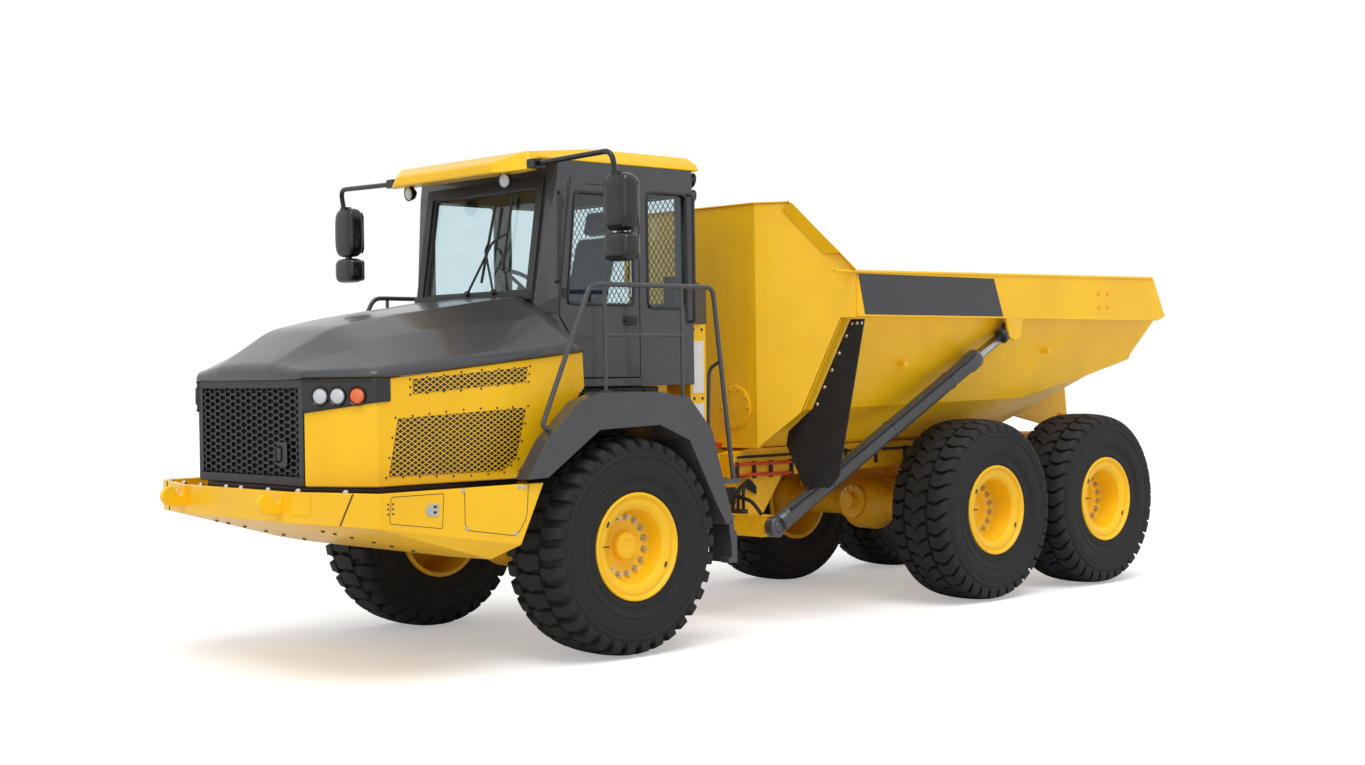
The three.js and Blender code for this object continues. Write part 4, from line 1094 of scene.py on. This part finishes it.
def walkway():
    # Raised grip studs on the walkways and step treads, as rows of small round buttons
    studs, studShape = Pile(), [(0.012, 0), (0.009, 0.005)]
    xs, ys = np.meshgrid(np.arange(-0.2, 0.32, 0.055), np.arange(1.02, 1.44, 0.055))
    for x, y in zip(xs.ravel(), ys.ravel()):
        if not (abs(x - 0.19) < 0.05 and abs(y - 1.35) < 0.045) and (x < 0.18 or y > 1.18):
            z = 1.89 + (x + 0.224) * 0.00527
            studs.lathe(studShape, (x, y, z), alongZ, 8)
    for x in np.arange(-1.015, -0.81, 0.05):
        for y in np.arange(1.22, 1.36, 0.05):
            studs.lathe(studShape, (x, y, 1.225), alongZ, 8)
    studs.mirrored().build("gripStuds", "iron", "tractor")


seatLook = {"crown": 0.2, "channel": 0.01, "pull": 0.06}


def cushion(name, centre, half, tilt, node, look):
    # Rounded block with its sides drawn in between the corners. With u, v and w from -1 to 1, w grows with
    # (1 - u^2)(1 - v^2) and drops by a narrow bell curve along two channels lengthwise and one across
    verts, faces = ridgedBlock((0, 0, 0), (1, 1, 1), 0.3, 41, 96)
    u, v, w = verts.T
    crown = (1 - u ** 2).clip(0) * (1 - v ** 2).clip(0)
    channels = np.exp(-((np.abs(v) - 0.48) / 0.035) ** 2) + np.exp(-((u - 0.3) / 0.03) ** 2)
    w = w * (1 + look["crown"] * crown) - np.sign(w) * channels * look["channel"] / half[2] * (np.abs(w) > 0.5)
    w = np.where(w < 0, np.maximum(w, -1.0), w)
    x = u * (1 - look["pull"] * (1 - v ** 2).clip(0) * (np.abs(u) > 0.6)) * half[0]
    y = v * (1 - look["pull"] * (1 - u ** 2).clip(0) * (np.abs(v) > 0.6)) * half[1]
    spin = np.array([[cos(tilt), 0, sin(tilt)], [0, 1, 0], [-sin(tilt), 0, cos(tilt)]])
    verts = np.stack([x, y, w * half[2]], 1) @ spin.T + centre
    piece = newPiece(name, verts, faces, "cloth", "tractor", crease=70, replaces=(node,) if node else ())


cabWindows(cabLook)
cabOutside()
cabLamps()
mirrors(mirrorLook)
handrails()
walkway()
cushion("seatCushionPad", (-0.545, 0, 2.437), (0.245, 0.245, 0.05), 0.0, "seat_cushion", seatLook)
cushion("seatBackPad", (-0.84, 0, 2.825), (0.3, 0.225, 0.048), radians(-104.5), "seat_back", seatLook)
refined("cab_shell", "grey", "tractor", 0.012, 3)
refined("cab_roof", "yellow", "tractor", 0.022, 3)
refined("cab_door", "grey", "cab_door", 0.008, 3)
refined("seat_base", "black", "tractor", 0.012, 3)
refined("dashboard", "black", "tractor", 0.01, 3)
print("cab made")

binLook = {"stripe": ((-2.505, 2.805), (-2.585, 2.475), (-4.43, 2.475), (-4.3, 2.805)), "face": 1.3705}


def binDetails(look):
    # Painted stripe on the band, flanges along the front edges, and bolts on the band, cover and flaps
    face = look["face"]
    Pile().prism(upright(look["stripe"], face), (0, 0.0015, 0)).mirrored().build(
        "binStripe", "stripe", "bin")
    bolts, steel = Pile(), Pile()
    for x in (-5.9, -6.04):
        for z in (2.585, 2.705):
            bolts.bolt((x, face, z), alongY, 0.015, 0.012)
    cover = Pile()
    for y, z in roundAbout(10):
        cover.bolt((-1.9895, 0.45 + 0.15 * y, 1.73 + 0.15 * z), alongX, 0.011, 0.01)
    cover.build("coverBolts", "yellowCast", "bin")
    out = np.array([0.564, 0.826, 0.0])
    cornerX = lambda y: -2.0 - (y - 0.7) * 450 / 660  # the front corner runs back 450 mm in 660 mm of width
    top = [np.array([cornerX(y), y, z]) for y, z in ((0.925, 3.392), (1.262, 2.972), (1.375, 2.824))]
    onCorner = lambda y, z, lift: np.array([cornerX(y), y, z]) + out * lift
    steel.prism([onCorner(0.945, 3.388, 0.05), onCorner(1.268, 2.968, 0.05), onCorner(1.165, 2.968, 0.003),
                 onCorner(0.885, 3.335, 0.003)], out * 0.008)
    for a, b in zip(top, top[1:]):
        steel.prism([a - out * 0.03, b - out * 0.03, b + out * 0.045, a + out * 0.045], (0, 0, 0.014))
    for strip in (((-1.985, 0.0), (-1.985, 0.7), (-2.065, 0.68), (-2.065, 0.0)),
                  ((-1.985, 0.7), (-2.14, 0.93), (-2.215, 0.89), (-2.065, 0.68))):
        steel.prism([(x, y, 3.391) for x, y in strip], (0, 0, 0.012))
    steel.tube([(-2.22, 1.37, 2.818), (-6.8, 1.37, 2.868)], 0.014, 10)
    steel.mirrored().build("binFlanges", "yellow", "bin", bevel=0.003)
    bolts.mirrored().build("binBolts", "yellowCast", "bin")
    flapBolts = Pile()
    for y in np.linspace(1.3, 1.4, 3):
        flapBolts.bolt((-2.508, y, 2.4), (0.966, 0, 0.256), 0.012, 0.01)
    for z in np.linspace(1.75, 2.3, 5):
        y = 1.013 + (z - 1.716) * 0.356 + 0.04
        flapBolts.bolt((-2.5 + (2.38 - z) * 0.265, y, z), (0.966, 0, 0.256), 0.012, 0.01)
    flapBolts.mirrored().build("flapBolts", "zinc", "bin")


binDetails(binLook)
for node in ("bin_floor", "bin_side_left", "bin_side_right", "bin_front_wall"):
    refined(node, "yellow", "bin", 0.006)
for sideName, side in sides:
    refined("bin_flap_" + sideName, "flap", "bin", 0.005)
print("bin made")

# Pins are (x, y, z) on the left side; most of the rod is inside the barrel until the cylinder pushes out
cylinders = {
    "hoist": {"pin": (-1.845, 1.04, 0.785), "eye": (-4.6, 1.3, 2.36), "across": alongY,
              "barrel": 2.7, "radius": 0.076, "rod": 0.046, "rodLength": 2.96,
              "pinEye": (0.084, 0.042), "rodEye": (0.07, 0.036), "straps": (0.25, 0.55, 0.85)},
    "steer": {"pin": (-0.2, 0.56, 0.97), "eye": (-1.5, 0.43, 0.97), "across": alongZ,
              "barrel": 0.86, "radius": 0.048, "rod": 0.025, "rodLength": 0.85,
              "pinEye": (0.058, 0.049), "rodEye": (0.05, 0.044), "straps": (0.25,)},
}


def eyeRing(pile, centre, across, radius, half):
    # A ring round a pin, with a chamfer on each face and the pin's end inside it
    across = np.array(across, float)
    section = [(radius * 0.55, -half), (radius * 0.94, -half), (radius, -half * 0.86), (radius, half * 0.86),
               (radius * 0.94, half), (radius * 0.55, half)]
    pile.lathe(section, centre, across, 40, closed=True)
    reach = across * half * 1.12
    pile.rod(centre - reach, centre + reach, radius * 0.53, 28)


def cylinder(name, look, sideName, side):
    # Barrel turned about the line from pin to eye: base cap, tube, weld, gland; then the rod and both eyes
    turn = np.array([1, side, 1])
    pin, eye = np.array(look["pin"]) * turn, np.array(look["eye"]) * turn
    axis = (eye - pin) / np.linalg.norm(eye - pin)
    r, thin, length = look["radius"], look["rod"], look["barrel"]
    body, rod, ring, pipe, bolts = Pile(), Pile(), Pile(), Pile(), Pile()
    body.lathe([(r * 0.6, r * 0.5), (r * 0.95, r * 0.7), (r, r * 1.0), (r, r * 1.6), (r * 1.05, r * 1.65),
                (r * 1.05, r * 1.8), (r, r * 1.85), (r, length - 0.15), (r * 1.04, length - 0.14),
                (r * 1.13, length - 0.12), (r * 1.13, length - 0.02), (r * 1.06, length - 0.005),
                (thin * 1.25, length), (thin * 1.2, length + 0.012), (thin * 1.02, length + 0.014)],
               pin, axis, 48)
    eyeRing(body, pin, look["across"], *look["pinEye"])
    u, v, w = sideAxes(axis)
    for a, b in roundAbout(8):
        outward = (u * a + v * b) * (thin + r * 1.1) / 2
        bolts.bolt(pin + axis * (length - 0.001) + outward, axis, r * 0.11, 0.01)
    rod.rod(eye - axis * look["rodLength"], eye - axis * look["rodEye"][0] * 0.8, thin, 40)
    ring.lathe([(thin * 1.05, 0), (thin * 1.5, 0.006), (thin * 1.5, 0.05), (thin * 1.2, 0.06)],
               eye - axis * (look["rodEye"][0] + 0.055), axis, 32)
    eyeRing(ring, eye, look["across"], *look["rodEye"])
    lift = np.cross(axis, [0, side, 0])
    lift = lift / np.linalg.norm(lift) * np.sign(lift[2] + 1e-9)
    out = lift * 0.75 + np.array([0, side * 0.66, 0])
    start, end = pin + axis * r * 2.2, pin + axis * (length - 0.07)
    inner, outer = out * r * 0.9, out * (r + 0.03)
    pipe.tube([start + inner, start + outer, end + outer, end + inner], r * 0.16, 10, 0.05)
    for part in look["straps"]:
        place = pin + axis * length * part
        body.lathe([(r * 1.001, -0.012), (r * 1.06, -0.012), (r * 1.06, 0.012), (r * 1.001, 0.012)],
                   place, axis, 40, closed=True)
        pipe.rod(place + out * r * 0.98, place + out * (r + 0.045), r * 0.2, 10)
    barrelBody, rodBody = f"{name}_barrel_{sideName}", f"{name}_rod_{sideName}"
    body.build(name + "Tube_" + sideName, "grey", barrelBody, crease=38, replaces=(barrelBody,))
    pipe.build(name + "Pipe_" + sideName, "iron", barrelBody, crease=45)
    bolts.build(name + "GlandBolts_" + sideName, "zinc", barrelBody)
    rod.build(name + "Rod_" + sideName, "chrome", rodBody, crease=45, replaces=(rodBody,))
    ring.build(name + "RodEye_" + sideName, "grey", rodBody, crease=45)


for sideName, side in sides:
    for name, look in cylinders.items():
        cylinder(name, look, sideName, side)
print("cylinders made")

axleLook = {"hub": 0.19, "tube": 0.115, "case": 0.235, "sides": 56}


def axleHousing(node, body, x, look):
    # Turned about the axle line: hubs, tapering tubes and the round differential case, with its cover bolts
    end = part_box(node)[1][1]
    h, t, c = look["hub"], look["tube"], look["case"]
    half = [(h * 0.5, end - 0.002), (h * 0.93, end - 0.002), (h, end - 0.012), (h, end - 0.15),
            (h * 0.97, end - 0.165), (t * 1.25, end - 0.22), (t, end - 0.26), (t, 0.34), (t * 1.1, 0.3),
            (c * 0.8, 0.175), (c * 0.95, 0.135), (c, 0.09), (c, 0.02)]
    section = [(r, -y) for r, y in half] + [(r, y) for r, y in half[::-1]]
    centre = np.array([x, 0, axleZ])
    housing, bolts = Pile(), Pile()
    housing.lathe(section, centre, alongY, look["sides"])
    housing.lathe([(0.15, 0.15), (0.15, 0.25), (0.11, 0.262), (0.075, 0.262), (0.075, 0.33), (0.05, 0.33)],
                  centre, (1, 0, 0.12), 36)
    housing.lathe([(0.15, 0.15), (0.165, 0.185), (0.155, 0.215), (0.08, 0.238)], centre, (-1, 0, 0), 36)
    for y, z in roundAbout(12):
        bolts.bolt(centre + [0.246, 0.13 * y, 0.13 * z + 0.028], (1, 0, 0.12), 0.011, 0.012)
        bolts.bolt(centre + [-0.205, 0.14 * y, 0.14 * z], (-1, 0, 0), 0.011, 0.014)
    if x == 0:
        for side in (1, -1):
            housing.rod((0.06, side * 0.56, axleZ + 0.05), (0.06, side * 0.56, 1.18), 0.07, 32)
            bolts.rod((0.06, side * 0.56, 1.17), (0.06, side * 0.56, 1.5), 0.045, 28)
    housing.build(node + "Housing", "yellowCast", body, crease=40, replaces=(node,))
    bolts.build(node + "Bolts", "zinc", body)


def chassisDetails():
    # Valve blocks, hoses and clamps along the rear frame, and the lamps at its tail
    blocks, redHoses, blackHoses, iron = Pile(), Pile(), Pile(), Pile()
    blocks.box((-2.32, 0.235, 1.352), (-2.12, 0.475, 1.39))
    for z in (1.255, 1.165):
        redHoses.tube([(-1.93, 0.505, z), (-2.1, 0.535, z + 0.01), (-2.4, 0.535, z), (-2.62, 0.51, z)],
                      0.015, 10, 0.08)
    for k, y in enumerate((0.54, 0.6, 0.66)):
        iron.box((-1.9, y - 0.022, 0.868), (-1.84, y + 0.022, 0.905))
        blackHoses.tube([(-1.87, y, 0.9), (-1.87, y, 1.02 + 0.03 * k), (-1.99 - 0.03 * k, 0.54, 1.1 + 0.02 * k),
                         (-2.16, 0.515, 1.02 + 0.02 * k)], 0.014, 10, 0.07)
    blackHoses.tube([(-1.83, 0.9, 0.88), (-1.83, 0.8, 0.98), (-1.86, 0.66, 1.0), (-1.94, 0.52, 1.0)],
                    0.016, 10, 0.07)
    for x in (-1.95, -2.15, -2.35, -2.6):
        iron.box((x - 0.012, 0.5, 1.14), (x + 0.012, 0.53, 1.28))
    iron.box((-1.905, 0.5, 0.94), (-1.8, 0.54, 1.08))
    for x in (-2.9, -3.3, -3.7, -4.1, -4.5):
        iron.box((x - 0.02, 0.5, 1.2), (x + 0.02, 0.512, 1.34))
    blackHoses.tube([(-1.95, 0.521, 1.32), (-3.0, 0.521, 1.32), (-5.6, 0.521, 1.32), (-6.2, 0.515, 1.32)],
                    0.011, 8, 0.1)
    blocks.mirrored().build("valveBlocks", "yellowCast", "rear_frame", bevel=0.004)
    redHoses.mirrored().build("redHoses", "redHose", "rear_frame", crease=50)
    blackHoses.mirrored().build("chassisHoses", "hose", "rear_frame", crease=50)
    iron.mirrored().build("hoseClamps", "iron", "rear_frame", bevel=0.003)
    lamps, shells = Pile(), Pile()
    for place in ((-6.486, 0.385, 1.31), (-6.486, 0.45, 1.31)):
        shells.lathe([(0.03, 0), (0.036, 0.006), (0.036, 0.026), (0.031, 0.03)], place, (-1, 0, 0), 24)
        lamps.lathe([(0.03, 0.02), (0.03, 0.03), (0.018, 0.036)], place, (-1, 0, 0), 24)
    shells.mirrored().build("tailLampShells", "black", "rear_frame", crease=45)
    lamps.mirrored().build("tailLamps", "red", "rear_frame", crease=60)


hoseLook = {"front": -1.12, "rear": -2.135, "height": 1.4, "drop": 0.028, "arch": 0.075, "radius": 0.015,
            "split": 16, "points": 34, "across": (0.15, 0.2, 0.25)}


def crossingHoses(look):
    # Height = start - drop * s + arch * sin(pi s) ^ 0.6 along the hose, which is cut into a front half and a
    # rear half built as two pieces
    s = np.linspace(0, 1, look["points"])
    x = look["front"] + (look["rear"] - look["front"]) * s
    z = look["height"] - look["drop"] * s + look["arch"] * np.sin(pi * s).clip(0) ** 0.6
    cut = look["split"]
    halves = (("hosesFront", slice(0, cut + 1), "tractor", "hitch", (-1.22, -1.52)),
              ("hosesRear", slice(cut, None), "hitch", "rear_frame", (-1.66, -2.0)))
    for name, span, front, rear, (start, end) in halves:
        hoses = Pile()
        for y in look["across"]:
            path = np.column_stack([x, y + 0.03 * s, z])[span]
            hoses.tube(path, look["radius"], 10)
        piece = hoses.mirrored().build(name, "redHose", None, crease=50)
        start + axleX
        end + axleX
        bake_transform(piece)


def serviceColumn():
    # Grey cap over the yellow column, blank white plates, a sight tube, a round plug and bolts
    cap = Pile()
    low = [(-1.182, 0.477), (-1.182, 0.803), (-1.388, 0.763), (-1.388, 0.477)]
    high = [(2.794, 0.477), (2.764, 0.803), (2.694, 0.763), (2.704, 0.477)]
    verts = [(x, y, 2.398) for x, y in low] + [(x, y, z) for (x, _), (z, y) in zip(low, high)]
    cap.add(verts, [(0, 1, 5, 4), (1, 2, 6, 5), (2, 3, 7, 6), (3, 0, 4, 7), (4, 5, 6, 7), (3, 2, 1, 0)])
    cap.build("columnCap", "grey", "tractor", bevel=0.012, turns=3)
    plates, iron = Pile(), Pile()
    for z0, z1 in ((1.86, 2.27), (1.66, 1.78)):
        plates.box((-1.335, 0.77, z0), (-1.215, 0.7725, z1))
    plates.build("columnPlates", "white", "tractor", bevel=0.001)
    iron.tube([(-1.275, 0.772, 1.62), (-1.275, 0.8, 1.6), (-1.275, 0.8, 1.48), (-1.275, 0.772, 1.46)],
              0.012, 10, 0.02)
    for x in (-1.32, -1.23):
        for z in (2.36, 1.82):
            iron.bolt((x, 0.77, z), alongY, 0.009, 0.008)
    iron.lathe([(0.03, 0), (0.034, 0.008), (0.034, 0.03), (0.026, 0.036)], (-1.275, 0.77, 1.55), alongY, 24)
    iron.build("columnFittings", "iron", "tractor")
    refined("service_tower", "yellow", "tractor", 0.008, 3)


for node, body, x in (("front_axle", "tractor", 0.0), ("mid_axle", "rear_frame", midX),
                      ("rear_axle", "rear_frame", rearX)):
    axleHousing(node, body, x, axleLook)
serviceColumn()
chassisDetails()
crossingHoses(hoseLook)
refined("hitch_yoke", "yellowCast", "hitch", 0.006)
refined("rear_frame", "yellowCast", "rear_frame", 0.006)
refined("walking_beams", "yellowCast", "rear_frame", 0.01, 3)
print("chassis made")

engineLook = {"rear": 0.55, "front": 1.45, "fanBlades": 8, "cylinders": 6}


def engine(look):
    # In-line engine: ribbed crankcase, head, rounded valve cover, manifolds, turbo, filters, pulleys and fan
    x0, x1 = look["rear"], look["front"]
    case, bright, black = Pile(), Pile(), Pile()
    half = [(0.15, 0.925), (0.215, 1.02), (0.225, 1.18), (0.185, 1.3), (0.18, 1.5)]
    outline = [(x0, y, z) for y, z in half] + [(x0, -y, z) for y, z in half[::-1]]
    case.prism(outline, (x1 - x0, 0, 0))
    case.box((x0 + 0.06, -0.135, 0.902), (x1 - 0.12, 0.135, 0.93))
    case.box((x0 + 0.01, -0.16, 1.5), (x1 - 0.01, 0.16, 1.61))
    for x in np.linspace(x0 + 0.05, x1 - 0.05, 10):
        case.box((x - 0.008, -0.236, 1.03), (x + 0.008, 0.236, 1.17))
    case.lathe([(0.235, 0), (0.24, 0.01), (0.24, 0.06), (0.18, 0.11), (0.175, 0.195)], (x0, 0, 1.15),
               (-1, 0, 0), 48)
    black.add(*ridgedBlock((1.0, 0, 1.675), (0.41, 0.13, 0.075), 0.3))
    for x in np.linspace(x0 + 0.1, x1 - 0.1, look["cylinders"]):
        black.box((x - 0.012, -0.118, 1.7), (x + 0.012, 0.118, 1.757))
        for y in (0.146, -0.146):
            bright.bolt((x, y, 1.61), alongZ, 0.012, 0.014)
        case.tube([(x, 0.155, 1.555), (x, 0.2, 1.555), (x + 0.02, 0.215, 1.53)], 0.024, 12, 0.02)
        case.tube([(x, -0.155, 1.56), (x, -0.205, 1.56)], 0.022, 12)
        bright.tube([(x, -0.15, 1.4), (x, -0.19, 1.42), (x, -0.19, 1.6), (x, -0.12, 1.62)], 0.004, 6, 0.02)
    case.tube([(x0 + 0.06, 0.222, 1.525), (x1 - 0.06, 0.222, 1.525)], 0.034, 16)
    bright.tube([(x0 + 0.06, -0.222, 1.56), (x1 - 0.06, -0.222, 1.56)], 0.036, 16)
    bright.lathe([(0.03, -0.075), (0.055, -0.06), (0.062, -0.02), (0.03, 0.0), (0.062, 0.02), (0.058, 0.065),
                  (0.03, 0.08)], (1.0, 0.205, 1.625), alongX, 36)
    for x in (0.75, 0.86):
        black.lathe([(0.03, 0), (0.037, 0.008), (0.037, 0.225), (0.026, 0.245)], (x, 0.232, 1.205),
                    alongZ, 28)
    for z, r in ((1.06, 0.115), (1.44, 0.07)):
        bright.lathe([(r * 0.5, 0), (r, 0.004), (r, 0.016), (r * 0.88, 0.024), (r * 0.88, 0.036), (r, 0.044),
                      (r, 0.056), (r * 0.4, 0.062)], (x1, 0, z), alongX, 48)
    belt = [(x1 + 0.03, r * cos(a), z + r * sin(a))
            for r, z, first in ((0.104, 1.06, pi), (0.064, 1.44, 0))
            for a in np.linspace(first, first + pi, 17)]
    black.tube(belt, 0.009, 8, closed=True)
    fanCentre, lean = np.array([x1 + 0.085, 0, 1.44]), np.array([0.03, 0, 0])
    for y, z in roundAbout(look["fanBlades"]):
        u, v = np.array([0, y, z]), np.array([0, -z, y])
        root, tip = fanCentre + u * 0.05, fanCentre + u * 0.235
        inner, outer = v * 0.025 + lean, v * 0.05 + lean
        black.prism([root - inner, root + inner, tip + outer, tip - outer], np.cross(u, v + lean * 20) * 0.0015)
    black.rod((x1 + 0.05, 0, 1.44), (x1 + 0.125, 0, 1.44), 0.062, 32)
    black.tube([(x1 - 0.02, -0.13, 1.56), (x1 + 0.1, -0.16, 1.58), (1.62, -0.18, 1.7)], 0.026, 14, 0.07)
    black.tube([(x1 - 0.02, 0.15, 1.02), (x1 + 0.1, 0.18, 1.0), (1.62, 0.18, 0.98)], 0.026, 14, 0.07)
    case.build("engineCase", "iron", "tractor", bevel=0.005, replaces=("engine_block",))
    bright.build("engineBrightParts", "zinc", "tractor", crease=45)
    black.build("engineCovers", "black", "tractor", crease=45)


def cabInside():
    # Headrest, side console with its lever, pedals and the floor mat
    console = Pile()
    console.add(*ridgedBlock((-0.48, -0.4, 2.38), (0.26, 0.085, 0.11), 0.3))
    console.box((-0.62, -0.46, 1.984), (-0.34, -0.34, 2.3))
    console.tube([(-0.33, -0.4, 2.47), (-0.325, -0.4, 2.53), (-0.31, -0.395, 2.57)], 0.012, 12, 0.02)
    console.add(*ridgedBlock((-0.306, -0.395, 2.6), (0.026, 0.022, 0.04), 0.7, 17, 24))
    for y in (-0.12, 0.12):
        console.prism([(-0.06, y - 0.05, 2.06), (-0.06, y + 0.05, 2.06), (-0.13, y + 0.05, 2.0),
                       (-0.13, y - 0.05, 2.0)], (0.012, 0, 0.01))
    console.box((-1.08, -0.78, 1.9815), (-0.1, 0.78, 1.986))
    console.build("cabConsole", "black", "tractor", crease=45, bevel=0.003)
    cushion("headrestPad", (-0.935, 0, 3.225), (0.095, 0.15, 0.045), radians(-104.5), "", seatLook)


engine(engineLook)
cabInside()
print("engine and cab inside made")
